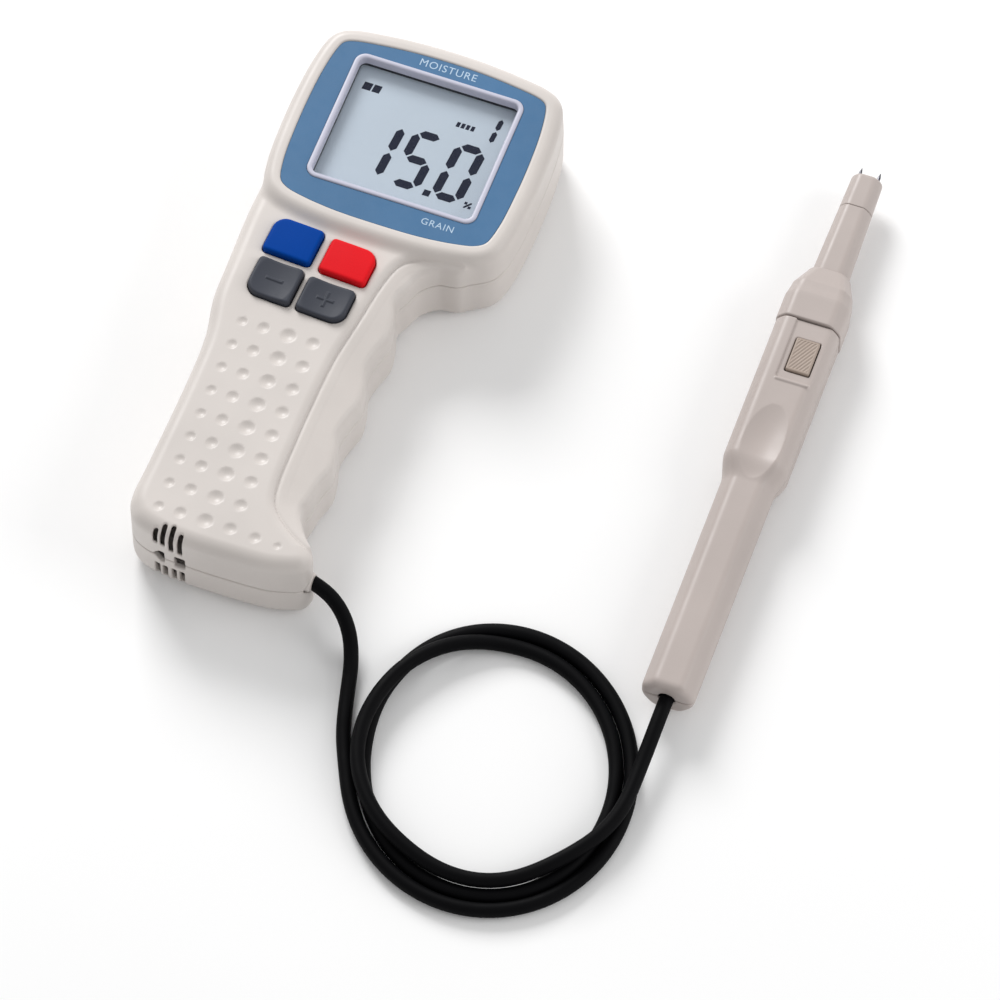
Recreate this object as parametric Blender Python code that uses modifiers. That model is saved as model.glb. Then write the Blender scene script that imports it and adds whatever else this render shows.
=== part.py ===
"""Hand-held grain moisture meter with a two-needle probe on a coiled cord.

The meter lies on its back on z = 0, its display facing +Z and the top of its head towards +Y.
The origin is on the meter's back, under the centre of the display. The probe lies to the right,
nearly parallel to the meter, and the cord lies in a coil between them.
Dimensions are in millimetres; MM turns them into metres where a mesh is made.
"""

import math

import bmesh
import bpy
import numpy as np
from mathutils import Matrix, Vector

MM = 0.001
GAP = 0.3

# Levels of the meter, measured up from the surface it lies on.
PARTING_Z, PARTING_RISE, PARTING_MID_Y = 18.5, 0.0311, -36.0
GRIP_FACE_Z = 30.0
RIM_Z = 32.5
SEAT_Z = 31.3
WALL = 2.2
BACK_RADIUS_Z = 6.0
BACK_INSET = 5.5
BOARD_Z = 19.7
BOARD_THICKNESS = 1.6

# Finger scallops of the grip's right side.
SCALLOP_PITCH = 25.0
SCALLOP_DEPTH = 1.3
SCALLOP_MID_X = 15.4
SCALLOP_CREST_Y = -90.2

# Rectangles (low x, high x, low y, high y) that the walls of the head and of the grip lean towards.
HEAD_CORE = (-24.0, 24.0, -22.0, 18.0)
GRIP_CORE = (-22.0, 2.0, -142.0, -30.0)

# Right half of the head's outline, from the middle of its lower edge to the middle of its top.
HEAD_HALF = (
    (0.0, -39.3), (14.0, -39.0), (26.0, -37.6), (34.0, -35.4), (39.0, -30.8), (41.2, -22.0),
    (42.0, -10.0), (42.1, 3.0), (41.5, 15.0), (39.9, 25.0), (37.2, 29.9), (32.0, 32.6),
    (22.0, 34.2), (11.0, 35.2), (0.0, 35.5),
)

# Grip outline as (x, y, distance from the wall to the flat front face), anticlockwise from its
# lower edge. The finger side between the two lists follows scallop_x and ridge_x.
GRIP_LOWER_RIGHT = (
    (0.0, -158.0, 5.0), (10.0, -157.5, 5.0), (16.0, -156.2, 5.0), (20.3, -153.9, 5.0),
    (22.5, -150.8, 5.0), (22.3, -147.6, 5.5), (20.2, -144.6, 6.5), (17.3, -141.0, 7.5),
    (14.8, -137.0, 8.5), (13.4, -132.8, 9.0),
)
GRIP_UPPER_LEFT = (
    (16.0, -49.0, 7.8), (18.2, -43.9, 8.0), (22.8, -40.0, 7.5), (29.5, -38.2, 7.0),
    (33.0, -30.0, 6.0), (28.0, -22.0, 5.0), (0.0, -20.0, 5.0), (-30.0, -22.0, 5.0),
    (-38.6, -29.0, 5.0), (-40.2, -38.0, 5.0), (-39.6, -60.0, 4.8), (-39.0, -73.0, 4.7),
    (-36.3, -87.0, 4.5), (-35.7, -105.0, 4.5), (-36.2, -134.0, 4.6), (-36.6, -146.0, 5.0),
    (-35.0, -151.8, 5.5), (-31.0, -155.6, 5.5), (-23.0, -157.6, 5.2), (-11.0, -158.1, 5.0),
)

# Display: half sizes of each layer, from the printed panel down to the glass.
PANEL_INSET = 5.7
BEZEL_HALF = (28.0, 24.05)
BEZEL_OPENING = (26.3, 22.5)
BEZEL_Z = (31.0, 32.6)
BEZEL_CORNER = 4.0
HOLDER_NECK_HALF = (27.6, 23.7)
HOLDER_HALF = (30.5, 26.6)
HOLDER_Z = (21.6, 29.0, 30.7)
WINDOW_Z = (28.2, 29.0)
LCD_HALF = (28.4, 24.2)
LCD_Z = (26.2, 27.8)

# Keys: name, centre, size, which corner is the large one (0 lower left, anticlockwise), colour slot.
KEY_TILT = math.radians(-2.5)
KEYS = (
    ("key_power", (-22.3, -47.4), (15.8, 13.0), 3, "blue_key"),
    ("key_measure", (-3.6, -48.8), (15.4, 12.4), 2, "red_key"),
    ("key_minus", (-22.6, -62.9), (14.8, 13.2), 0, "grey_key"),
    ("key_plus", (-5.4, -64.1), (15.4, 12.2), 1, "grey_key"),
)
KEY_SMALL_CORNER = 1.3
KEY_LARGE_CORNER = 4.2
KEY_TOP_Z = 32.2
KEY_FLANGE_Z = (26.2, 27.4)
KEY_FLANGE_LIP = 0.8
KEY_STEM_Z = 25.3
KEY_CLEARANCE = 0.35
SWITCH_TOP_Z = 24.1

# Case screws: x, y, and the levels of the screw's tip and of the top of its post.
CASE_SCREWS = (
    (-34.0, 22.0, 26.0, 29.6),
    (34.0, 22.0, 26.0, 29.6),
    (9.0, -52.0, 25.0, 28.4),
    (-4.0, -149.0, 25.0, 28.4),
)
SCREW_HEAD_Z = (9.5, 11.8)
SCREW_SHANK_RADIUS = 1.3
BOARD_SCREWS = ((25.5, -29.0), (-29.5, -29.5))

# Battery bay on the grip's back, for two AA cells side by side.
CELL_RADIUS = 7.1
CELL_LENGTH = 50.0
CELL_X = (-17.5, -2.5)
CELL_TOP_Y = -73.0
CELL_Z = 10.4
BAY_X = (-26.5, 6.5)
BAY_Y = (-131.0, -69.0)
BOX_Z = (2.4, 18.8)
COVER_LENGTH = 56.2
COVER_Z = (0.15, 1.8)
LEDGE_Y = (-133.0, -127.6)
LEDGE_Z = (2.1, 3.7)

# Vents and strap eyes at the grip's lower left corner. A front vent is (x, top y, low z).
FRONT_VENTS = ((-25.1, -155.0, 22.4), (-22.6, -152.4, 22.2), (-19.8, -152.2, 20.6), (-16.9, -155.0, 20.4))
BACK_VENT_X = (-24.8, -22.2, -19.2, -16.6)
BACK_VENT_Z = (2.2, 10.2)
VENT_WIDTH = 1.45
STRAP_EYES = ((-24.5, 3.6), (-17.1, 2.9))
STRAP_EYE_Z = (12.9, 17.8)

INNER_LEAD_ROUTE = (
    (12.7, -149.9, 15.0), (6.0, -144.5, 17.6), (-6.0, -138.5, 20.6), (-20.0, -135.5, 22.0),
    (-30.0, -126.0, 22.2), (-31.0, -110.0, 22.4), (-31.0, -92.0, 22.8), (-31.0, -73.9, 23.4),
)

# Cord, its bush on the meter, and the route that it takes before and after the coil.
CORD_DIAMETER = 4.6
BUSH_CENTRE = (-149.9, 15.0)
BUSH_X = (14.2, 23.4)
BUSH_RADIUS = 3.4
BORE_RADIUS = CORD_DIAMETER / 2 + 0.35
CORD_SPACING = 1.4 * CORD_DIAMETER
INNER_WIRE_RADIUS = 1.0
METER_ROUTE = (
    (13.5, -149.9, 15.0), (18.5, -149.9, 15.0), (23.4, -149.9, 15.0), (30.6, -151.6, 12.4),
    (37.3, -157.0, 7.1), (41.3, -165.6, 3.4), (43.4, -174.2, 2.3), (45.2, -181.0, 2.3),
)
PROBE_ROUTE = (
    (136.1, -167.3, 7.6), (136.1, -163.0, 8.0), (136.05, -158.5, 8.5), (136.0, -152.5, 9.1),
    (135.97, -147.0, 9.2), (135.9, -140.5, 9.2),
)
COIL_CENTRE = (92.9, -184.9)
COIL_TURN = math.radians(20.3)
COIL_MEAN_RADIUS = 40.55
COIL_HALF_BAND = 4.75
COIL_STRETCH = 1.0925

# Probe, in its own frame: +Y along it towards the needles, +Z up out of the button's facet.
PROBE_ORIGIN = (133.6, 0.0, 9.2)
PROBE_TURN = math.radians(0.88)
PROBE_END_Y = -147.5
PROBE_SPLIT_Z = 0.15
HANDLE_NARROW = (8.4, 7.3, 4.6)
HANDLE_WIDE = (10.3, 9.2, 7.2)
NOSE_SHOULDER = (9.8, 8.6, 6.9)
NOSE_TOP = (7.2, 6.2, 4.6)
TUBE_BASE = (6.0, 5.0, 3.4)
TUBE_TOP = (5.4, 4.2, 3.0)
NOSE_Y = (-12.0, -2.5, 2.2, 8.6, 9.4)
TUBE_Y = (-2.0, 35.3)
TIP_Y = (35.6, 48.0)
NEEDLE_X = 3.05
NEEDLE_TIP_Y = 51.8
PROBE_WALL = 1.7
PROBE_SCREWS = ((-48.0, -8.2), (-125.0, -6.3))
BUTTON_CENTRE = (2.4, -24.9)
BUTTON_SIZE = (7.6, 12.1)
BUTTON_TOP_Z = 9.3
BUTTON_STEM_Z = 4.6
RECESS_X = (-3.4, 7.7)
RECESS_Y = (-34.4, -11.0)
RECESS_Z = 8.5
LIP_Y = (-35.3, -34.4)
LIP_Z = 9.6
THUMB_CENTRE = (0.4, -56.3)
THUMB_SIZE = (6.0, 12.2)
THUMB_DEPTH = 1.3

# Colours as sRGB bytes, with roughness and metallic value.
FINISHES = {
    "case": ((215, 209, 204), 0.42, 0.0),
    "panel": ((80, 122, 165), 0.38, 0.0),
    "bezel": ((186, 186, 204), 0.35, 0.0),
    "holder": ((30, 32, 38), 0.55, 0.0),
    "window": ((235, 240, 245), 0.05, 0.0),
    "lcd": ((172, 185, 198), 0.25, 0.0),
    "zebra": ((60, 60, 64), 0.8, 0.0),
    "board": ((22, 84, 52), 0.5, 0.0),
    "blue_key": ((0, 70, 165), 0.5, 0.0),
    "red_key": ((238, 35, 45), 0.5, 0.0),
    "grey_key": ((72, 74, 84), 0.5, 0.0),
    "switch": ((28, 28, 30), 0.5, 0.0),
    "steel": ((190, 190, 194), 0.3, 1.0),
    "cell": ((60, 64, 72), 0.35, 0.4),
    "box": ((52, 54, 58), 0.5, 0.0),
    "cord": ((8, 10, 14), 0.6, 0.0),
    "probe": ((190, 178, 174), 0.42, 0.0),
    "button": ((176, 160, 144), 0.5, 0.0),
    "needle": ((96, 96, 102), 0.25, 1.0),
    "brass": ((196, 160, 88), 0.3, 1.0),
}


# Scene, collections and materials


def clear_scene():
    for obj in list(bpy.data.objects):
        bpy.data.objects.remove(obj, do_unlink=True)


def new_collection(name):
    collection = bpy.data.collections.new(name)
    bpy.context.scene.collection.children.link(collection)
    return collection


def linear(byte):
    value = byte / 255
    return value / 12.92 if value <= 0.04045 else ((value + 0.055) / 1.055) ** 2.4


def make_material(name, colour, roughness, metallic):
    made = bpy.data.materials.new(name)
    made.use_nodes = True
    shader = made.node_tree.nodes["Principled BSDF"]
    shader.inputs["Base Color"].default_value = (*[linear(byte) for byte in colour], 1.0)
    shader.inputs["Roughness"].default_value = roughness
    shader.inputs["Metallic"].default_value = metallic
    return made


clear_scene()
PARTS = new_collection("grain_moisture_meter")
CUTTERS = new_collection("cutters")
MATERIALS = {name: make_material(name, *finish) for name, finish in FINISHES.items()}


# Objects from bmesh shapes


def add_object(name, shape, slot=None, origin=(0, 0, 0), parent=None):
    """An object from a bmesh in millimetres: a part when it has a slot, otherwise a cutter."""
    bmesh.ops.recalc_face_normals(shape, faces=shape.faces)
    bmesh.ops.translate(shape, vec=-Vector(origin), verts=shape.verts)
    bmesh.ops.scale(shape, vec=(MM, MM, MM), verts=shape.verts)
    mesh = bpy.data.meshes.new(name)
    shape.to_mesh(mesh)
    shape.free()
    obj = bpy.data.objects.new(name, mesh)
    obj.location = Vector(origin) * MM
    obj.parent = parent
    if slot is None:
        CUTTERS.objects.link(obj)
        obj.hide_render = True
        obj.display_type = "WIRE"
    else:
        PARTS.objects.link(obj)
        mesh.materials.append(MATERIALS[slot])
        mesh.shade_smooth()
        mesh.set_sharp_from_angle(angle=math.radians(35))
    return obj


def block(name, low, high, slot=None, **place):
    low, high = Vector(low), Vector(high)
    shape = bmesh.new()
    bmesh.ops.create_cube(shape, size=1.0)
    bmesh.ops.scale(shape, vec=high - low, verts=shape.verts)
    bmesh.ops.translate(shape, vec=(low + high) / 2, verts=shape.verts)
    return add_object(name, shape, slot, **place)


def rod(name, start, end, radius, slot=None, tip_radius=None, sides=20, **place):
    """A cylinder from start to end, or a cone when tip_radius is given."""
    start, end = Vector(start), Vector(end)
    shape = bmesh.new()
    bmesh.ops.create_cone(
        shape,
        cap_ends=True,
        segments=sides,
        radius1=radius,
        radius2=radius if tip_radius is None else tip_radius,
        depth=(end - start).length,
        matrix=Matrix.Translation((start + end) / 2)
        @ (end - start).to_track_quat("Z", "Y").to_matrix().to_4x4(),
    )
    return add_object(name, shape, slot, **place)


def ellipsoid(name, centre, radii):
    shape = bmesh.new()
    bmesh.ops.create_uvsphere(shape, u_segments=20, v_segments=12, radius=1.0)
    bmesh.ops.scale(shape, vec=radii, verts=shape.verts)
    bmesh.ops.translate(shape, vec=centre, verts=shape.verts)
    return add_object(name, shape)


def prism(name, outline, low_z, high_z, slot=None, **place):
    """A flat outline extruded from one level to another."""
    shape = bmesh.new()
    corners = [shape.verts.new((x, y, low_z)) for x, y in outline]
    base = shape.faces.new(corners)
    raised = bmesh.ops.extrude_face_region(shape, geom=[base])["geom"]
    moved = [item for item in raised if isinstance(item, bmesh.types.BMVert)]
    bmesh.ops.translate(shape, vec=(0, 0, high_z - low_z), verts=moved)
    return add_object(name, shape, slot, **place)


def stack(name, rings, slot=None, **place):
    """A closed solid through rings of equal point counts, with a flat face on each end."""
    shape = bmesh.new()
    loops = [[shape.verts.new(point) for point in ring] for ring in rings]
    count = len(loops[0])
    for lower, upper in zip(loops, loops[1:]):
        for i in range(count):
            j = (i + 1) % count
            shape.faces.new((lower[i], lower[j], upper[j], upper[i]))
    shape.faces.new(loops[0])
    shape.faces.new(loops[-1])
    return add_object(name, shape, slot, **place)


def boolean(obj, other, operation="DIFFERENCE"):
    modifier = obj.modifiers.new(other.name, "BOOLEAN")
    modifier.operation = operation
    modifier.object = other
    modifier.solver = "EXACT"


def bevel(obj, width, segments=1, angle=40):
    modifier = obj.modifiers.new("edges", "BEVEL")
    modifier.width = width * MM
    modifier.segments = segments
    modifier.limit_method = "ANGLE"
    modifier.angle_limit = math.radians(angle)


# Outlines


def smooth_loop(controls, samples):
    """Points on a closed Catmull-Rom curve through the controls, of any dimension."""
    points = np.array(controls, float)
    before, after = np.roll(points, 1, axis=0), np.roll(points, -1, axis=0)
    beyond = np.roll(points, -2, axis=0)
    curve = []
    for k in range(samples):
        t = k / samples
        curve.append(
            0.5
            * (
                2 * points
                + (after - before) * t
                + (2 * before - 5 * points + 4 * after - beyond) * t**2
                + (3 * points - before - 3 * after + beyond) * t**3
            )
        )
    return np.stack(curve, axis=1).reshape(-1, points.shape[1])


def smooth_line(controls, samples):
    """Points on an open Catmull-Rom curve through the controls, ends included."""
    points = np.array(controls, float)
    first, last = 2 * points[0] - points[1], 2 * points[-1] - points[-2]
    closed = smooth_loop(np.vstack([first, points, last]), samples)
    return closed[samples : samples * len(points) + 1]


def toward(points, core, distance):
    """Points moved by a distance towards the nearest point of a core rectangle."""
    nearest = np.stack(
        [np.clip(points[:, 0], core[0], core[1]), np.clip(points[:, 1], core[2], core[3])], axis=1
    )
    away = points - nearest
    return points - away / np.linalg.norm(away, axis=1)[:, None] * np.reshape(distance, (-1, 1))


def rounded_rectangle(size, radii, steps=4):
    """Corner arcs anticlockwise from the lower left corner, with one radius each."""
    half_x, half_y = size[0] / 2, size[1] / 2
    outline = []
    for i, (sx, sy) in enumerate(((-1, -1), (1, -1), (1, 1), (-1, 1))):
        centre_x, centre_y = sx * (half_x - radii[i]), sy * (half_y - radii[i])
        for k in range(steps + 1):
            angle = math.pi + (i + k / steps) * math.pi / 2
            outline.append(
                (centre_x + radii[i] * math.cos(angle), centre_y + radii[i] * math.sin(angle))
            )
    return outline


def scallop_x(y):
    phase = 2 * math.pi * (y - SCALLOP_CREST_Y) / SCALLOP_PITCH
    return SCALLOP_MID_X + SCALLOP_DEPTH * math.cos(phase)


def ridge_x(y):
    """The line where the flat front face ends and the finger side begins."""
    return 3.2 + (0.0025 if y > -100 else 0.0018) * (y + 100) ** 2


def head_outline():
    left = [(-x, y) for x, y in HEAD_HALF[-2:0:-1]]
    return smooth_loop(list(HEAD_HALF) + left, 2)


def grip_outline():
    """The grip's wall and its flat face's edge, point for point."""
    fingers = [
        (scallop_x(y), y, scallop_x(y) - ridge_x(y)) for y in np.linspace(-129.0, -54.0, 13)
    ]
    curve = smooth_loop([*GRIP_LOWER_RIGHT, *fingers, *GRIP_UPPER_LEFT], 2)
    return curve[:, :2], curve[:, 2]


def level(points, z):
    return np.column_stack([points, np.broadcast_to(z, len(points))])


def parting_z(y):
    """Level of the line between the two shells, lower towards the foot."""
    return PARTING_Z + PARTING_RISE * (y - PARTING_MID_Y)


def domed(wall, face, base, wall_z, face_z, steps):
    """Rings from base above the parting line to wall_z, which then curve over to the flat face."""
    rings = [level(wall, parting_z(wall[:, 1]) + base)]
    for angle in np.linspace(0, math.pi / 2, steps + 1):
        ring = face + (wall - face) * math.cos(angle)
        rings.append(level(ring, wall_z + (face_z - wall_z) * math.sin(angle)))
    return rings


# Meter case


def dome_steps(thickness):
    """Outer surfaces curve over in more steps than the hidden inner ones."""
    return 2 if thickness else 4


def head_front(name, thickness, base, slot=None):
    outline = toward(head_outline(), HEAD_CORE, thickness + 0.01)
    wall = toward(outline, HEAD_CORE, 0.4)
    face = toward(outline, HEAD_CORE, 3.4)
    top = SEAT_Z - 2.0 if thickness else RIM_Z
    return stack(name, domed(wall, face, base, top - 3.6, top, dome_steps(thickness)), slot)


def grip_front(name, thickness, base, slot=None):
    outline, inset = grip_outline()
    wall = toward(outline, GRIP_CORE, thickness + 0.01)
    face = toward(wall, GRIP_CORE, inset)
    top = GRIP_FACE_Z - thickness
    wall_z = top - np.clip(0.85 * inset, 4.3, 8.5)
    return stack(name, domed(wall, face, base, wall_z, top, dome_steps(thickness)), slot)


def case_back(name, outline, core, thickness, base, slot=None):
    wall = toward(outline, core, thickness + 0.01)
    face = toward(wall, core, BACK_INSET)
    steps = dome_steps(thickness)
    return stack(name, domed(wall, face, base, BACK_RADIUS_Z, thickness, steps), slot)


def cut_vents(case):
    """Four slots over the foot's upper edge, four across its lower edge and two strap eyes."""
    half = VENT_WIDTH / 2
    boxes = [((x - half, -160, low), (x + half, top_y, 34)) for x, top_y, low in FRONT_VENTS]
    low, high = BACK_VENT_Z
    boxes += [((x - half, -160, low), (x + half, -151, high)) for x in BACK_VENT_X]
    low, high = STRAP_EYE_Z
    boxes += [((x - w / 2, -160, low), (x + w / 2, -151.5, high)) for x, w in STRAP_EYES]
    for i, (low_corner, high_corner) in enumerate(boxes):
        boolean(case, block(f"{case.name}_vent_{i}", low_corner, high_corner))


def cut_cord_hole(case):
    y, z = BUSH_CENTRE
    radius = BUSH_RADIUS + GAP
    boolean(case, rod(f"{case.name}_cord_hole", (12, y, z), (26, y, z), radius, sides=24))


def key_outline(key, grow):
    _, centre, size, large, _ = key
    radii = [KEY_SMALL_CORNER + grow] * 4
    radii[large] = KEY_LARGE_CORNER + grow
    outline = rounded_rectangle((size[0] + 2 * grow, size[1] + 2 * grow), radii)
    c, s = math.cos(KEY_TILT), math.sin(KEY_TILT)
    return [(centre[0] + x * c - y * s, centre[1] + x * s + y * c) for x, y in outline]


def make_front_case():
    case = grip_front("front_case", 0.0, GAP / 2, "case")
    boolean(case, head_front("head_front_outside", 0.0, GAP / 2), "UNION")
    boolean(case, grip_front("grip_front_inside", WALL, -1.0))
    boolean(case, head_front("head_front_inside", WALL, -1.0))
    for i, (x, y, tip_z, post_z) in enumerate(CASE_SCREWS):
        post = rod(f"front_post_{i}", (x, y, parting_z(y) + 1), (x, y, post_z), 3.1)
        boolean(case, post, "UNION")
        pilot = rod(f"front_pilot_{i}", (x, y, 0), (x, y, tip_z + 0.8), SCREW_SHANK_RADIUS + GAP)
        boolean(case, pilot)
    seat = toward(head_outline(), HEAD_CORE, PANEL_INSET)
    boolean(case, prism("panel_seat", seat, SEAT_Z, RIM_Z + 3))
    opening = [2 * (half + GAP) for half in BEZEL_HALF]
    hole = rounded_rectangle(opening, [BEZEL_CORNER] * 4)
    boolean(case, prism("display_hole", hole, PARTING_Z, RIM_Z + 3))
    for key in KEYS:
        hole = key_outline(key, KEY_CLEARANCE)
        boolean(case, prism(f"{key[0]}_hole", hole, PARTING_Z, GRIP_FACE_Z + 3))
    cut_vents(case)
    cut_cord_hole(case)


def make_back_case():
    head, grip = head_outline(), grip_outline()[0]
    base = -GAP / 2
    case = case_back("back_case", grip, GRIP_CORE, 0.0, base, "case")
    boolean(case, case_back("head_back_outside", head, HEAD_CORE, 0.0, base), "UNION")
    boolean(case, case_back("grip_back_inside", grip, GRIP_CORE, WALL, base + 1))
    boolean(case, case_back("head_back_inside", head, HEAD_CORE, WALL, base + 1))
    for i, (x, y, _, _) in enumerate(CASE_SCREWS):
        sleeve_top = min(parting_z(y) - 0.4, BOARD_Z - 0.6)
        sleeve = rod(f"back_sleeve_{i}", (x, y, 2.0), (x, y, sleeve_top), 4.2)
        boolean(case, sleeve, "UNION")
        boolean(case, rod(f"back_well_{i}", (x, y, -3), (x, y, SCREW_HEAD_Z[1] + GAP), 2.9))
        clearance = SCREW_SHANK_RADIUS + GAP
        boolean(case, rod(f"back_pass_{i}", (x, y, 5), (x, y, parting_z(y) + 3), clearance))
    bay = block("bay_opening", (BAY_X[0], BAY_Y[0], -3), (BAY_X[1], BAY_Y[1], 5))
    boolean(case, bay)
    ledge = block(
        "thumb_ledge", (BAY_X[0] - 2, LEDGE_Y[0], LEDGE_Z[0]), (BAY_X[1] + 2, LEDGE_Y[1], LEDGE_Z[1])
    )
    boolean(case, ledge, "UNION")
    cut_vents(case)
    cut_cord_hole(case)


def make_case_screws():
    low_z, high_z = SCREW_HEAD_Z
    for i, (x, y, tip_z, _) in enumerate(CASE_SCREWS):
        screw = rod(f"case_screw_{i + 1}", (x, y, low_z), (x, y, high_z), 2.5, "steel")
        shank = rod(f"case_shank_{i}", (x, y, 11), (x, y, tip_z), SCREW_SHANK_RADIUS)
        boolean(screw, shank, "UNION")


# Display


def make_display():
    seat = toward(head_outline(), HEAD_CORE, PANEL_INSET + GAP)
    panel = prism("display_panel", seat, SEAT_Z + GAP, SEAT_Z + GAP + 0.5, "panel")
    hole = rounded_rectangle([2 * (half + GAP) for half in BEZEL_HALF], [BEZEL_CORNER] * 4)
    boolean(panel, prism("panel_hole", hole, SEAT_Z - 2, RIM_Z + 2))

    bezel_outline = rounded_rectangle([2 * half for half in BEZEL_HALF], [BEZEL_CORNER - GAP] * 4)
    opening_outline = rounded_rectangle([2 * half for half in BEZEL_OPENING], [2.0] * 4)
    bezel = prism("display_bezel", bezel_outline, *BEZEL_Z, "bezel")
    boolean(bezel, prism("bezel_opening", opening_outline, BEZEL_Z[0] - 1, BEZEL_Z[1] + 1))

    half_x, half_y = HOLDER_HALF
    base_z, shoulder_z, neck_z = HOLDER_Z
    holder = block("lcd_holder", (-half_x, -half_y, base_z), (half_x, half_y, shoulder_z), "holder")
    neck = rounded_rectangle([2 * half for half in HOLDER_NECK_HALF], [BEZEL_CORNER - GAP] * 4)
    boolean(holder, prism("holder_neck", neck, shoulder_z - 1, neck_z), "UNION")
    open_x, open_y = BEZEL_OPENING
    boolean(holder, block("holder_opening", (-open_x, -open_y, 15), (open_x, open_y, 35)))
    pocket_x, pocket_y = LCD_HALF[0] + GAP, LCD_HALF[1] + GAP
    pocket_top = LCD_Z[1] + GAP
    boolean(holder, block("lcd_pocket", (-pocket_x, -pocket_y, 15), (pocket_x, pocket_y, pocket_top)))

    pane_x, pane_y = open_x - GAP, open_y - GAP
    block("display_window", (-pane_x, -pane_y, WINDOW_Z[0]), (pane_x, pane_y, WINDOW_Z[1]), "window")
    block("lcd_glass", (-LCD_HALF[0], -LCD_HALF[1], LCD_Z[0]), (*LCD_HALF, LCD_Z[1]), "lcd")
    strip_top = LCD_Z[0] - GAP
    strip_low = BOARD_Z + BOARD_THICKNESS + GAP
    block("lcd_connector", (-24, -22.6, strip_low), (24, -19.8, strip_top), "zebra")


# Keys, board and switches


def make_keys():
    for key in KEYS:
        name, centre, _, _, slot = key
        origin = (*centre, KEY_TOP_Z)
        cap = prism(name, key_outline(key, 0.0), KEY_FLANGE_Z[0], KEY_TOP_Z, slot, origin=origin)
        bevel(cap, 0.4, angle=60)
        flange = prism(f"{name}_flange", key_outline(key, KEY_FLANGE_LIP), *KEY_FLANGE_Z)
        boolean(cap, flange, "UNION")
        stem = rod(f"{name}_stem", (*centre, KEY_STEM_Z), (*centre, KEY_FLANGE_Z[0] + 1), 1.7)
        boolean(cap, stem, "UNION")


def make_board():
    outline = (
        (-35.5, -74.5), (9.0, -74.5), (9.0, -58.0), (5.4, -56.0), (5.4, -34.0), (30.0, -32.5),
        (30.0, 26.5), (-30.0, 26.5), (-30.0, -27.0), (-35.5, -34.0),
    )
    top = BOARD_Z + BOARD_THICKNESS
    board = prism("main_board", outline, BOARD_Z, top, "board")
    for i, (x, y) in enumerate(BOARD_SCREWS):
        boolean(board, rod(f"board_hole_{i}", (x, y, 15), (x, y, 25), 1.4))
        screw = rod(f"board_screw_{i + 1}", (x, y, top + GAP), (x, y, top + 1.9), 2.2, "steel")
        shank = rod(f"board_shank_{i}", (x, y, BOARD_Z - 4), (x, y, top + 1), 1.0)
        boolean(screw, shank, "UNION")
    for name, (x, y), *_ in KEYS:
        body = block(
            name.replace("key", "switch"), (x - 3, y - 3, top + GAP), (x + 3, y + 3, top + 2.0), "switch"
        )
        plunger = rod(f"{name}_plunger", (x, y, top + 1), (x, y, SWITCH_TOP_Z), 1.7)
        boolean(body, plunger, "UNION")
    header_low = (-34.0, -73.5, top + GAP)
    block("sensor_header", header_low, (-28.0, -70.0, top + 4.5), "switch")
    rod("temperature_sensor", (-20.7, -150.5, 24.4), (-20.7, -144.0, 24.4), 1.4, "zebra", sides=12)


# Batteries


def make_batteries():
    low_y = CELL_TOP_Y - CELL_LENGTH
    box = block(
        "battery_box", (BAY_X[0], low_y - 4.2, BOX_Z[0]), (BAY_X[1], CELL_TOP_Y + 3.0, BOX_Z[1]), "box"
    )
    inside = block(
        "battery_box_inside",
        (BAY_X[0] + 1, low_y - 3.0, 0),
        (BAY_X[1] - 1, CELL_TOP_Y + 1.8, BOX_Z[1] - 1),
    )
    boolean(box, inside)
    for i, x in enumerate(CELL_X):
        sign = 1 if i == 0 else -1
        positive, negative = (CELL_TOP_Y, low_y)[::sign]
        can_top = positive - sign * 1.2
        cell = rod(
            f"battery_{i + 1}", (x, negative, CELL_Z), (x, can_top, CELL_Z), CELL_RADIUS, "cell"
        )
        nub_start = (x, can_top - sign, CELL_Z)
        boolean(cell, rod(f"battery_nub_{i}", nub_start, (x, positive, CELL_Z), 2.7), "UNION")
    contact_y = {"low": low_y - 2.7, "high": CELL_TOP_Y + 1.0}
    wide = block(
        "contact_bridge",
        (BAY_X[0] + 3, contact_y["high"] - 0.1, CELL_Z - 5),
        (BAY_X[1] - 3, contact_y["high"] + 0.4, CELL_Z + 5),
        "steel",
    )
    boolean(wide, spring("bridge_spring", CELL_X[1], contact_y["high"], CELL_TOP_Y + GAP), "UNION")
    for i, (name, x) in enumerate(zip(("contact_negative", "contact_positive"), CELL_X)):
        plate = block(
            name,
            (x - 5, contact_y["low"], CELL_Z - 5),
            (x + 5, contact_y["low"] + 0.5, CELL_Z + 5),
            "steel",
        )
        boolean(plate, spring(f"{name}_spring", x, contact_y["low"] + 0.2, low_y - GAP), "UNION")


def spring(name, x, from_y, to_y):
    return rod(name, (x, from_y, CELL_Z), (x, to_y, CELL_Z), 4.0, tip_radius=2.4, sides=14)


def make_battery_cover():
    low = (BAY_X[0] + GAP, BAY_Y[1] - GAP - COVER_LENGTH, COVER_Z[0])
    high = (BAY_X[1] - GAP, BAY_Y[1] - GAP, COVER_Z[1])
    cover = block("battery_cover", low, high, "case", origin=((low[0] + high[0]) / 2, high[1], 0))
    for i in range(4):
        y = low[1] + 4 + 2.5 * i
        groove = block(f"cover_groove_{i}", (-20, y, -1), (0, y + 1.0, COVER_Z[0] + 0.5))
        boolean(cover, groove)


# Cord


def make_bush():
    y, z = BUSH_CENTRE
    bush = rod("cord_bush", (BUSH_X[0], y, z), (BUSH_X[1], y, z), BUSH_RADIUS, "case", sides=24)
    boolean(bush, rod("bush_bore", (10, y, z), (30, y, z), BORE_RADIUS, sides=24))


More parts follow.
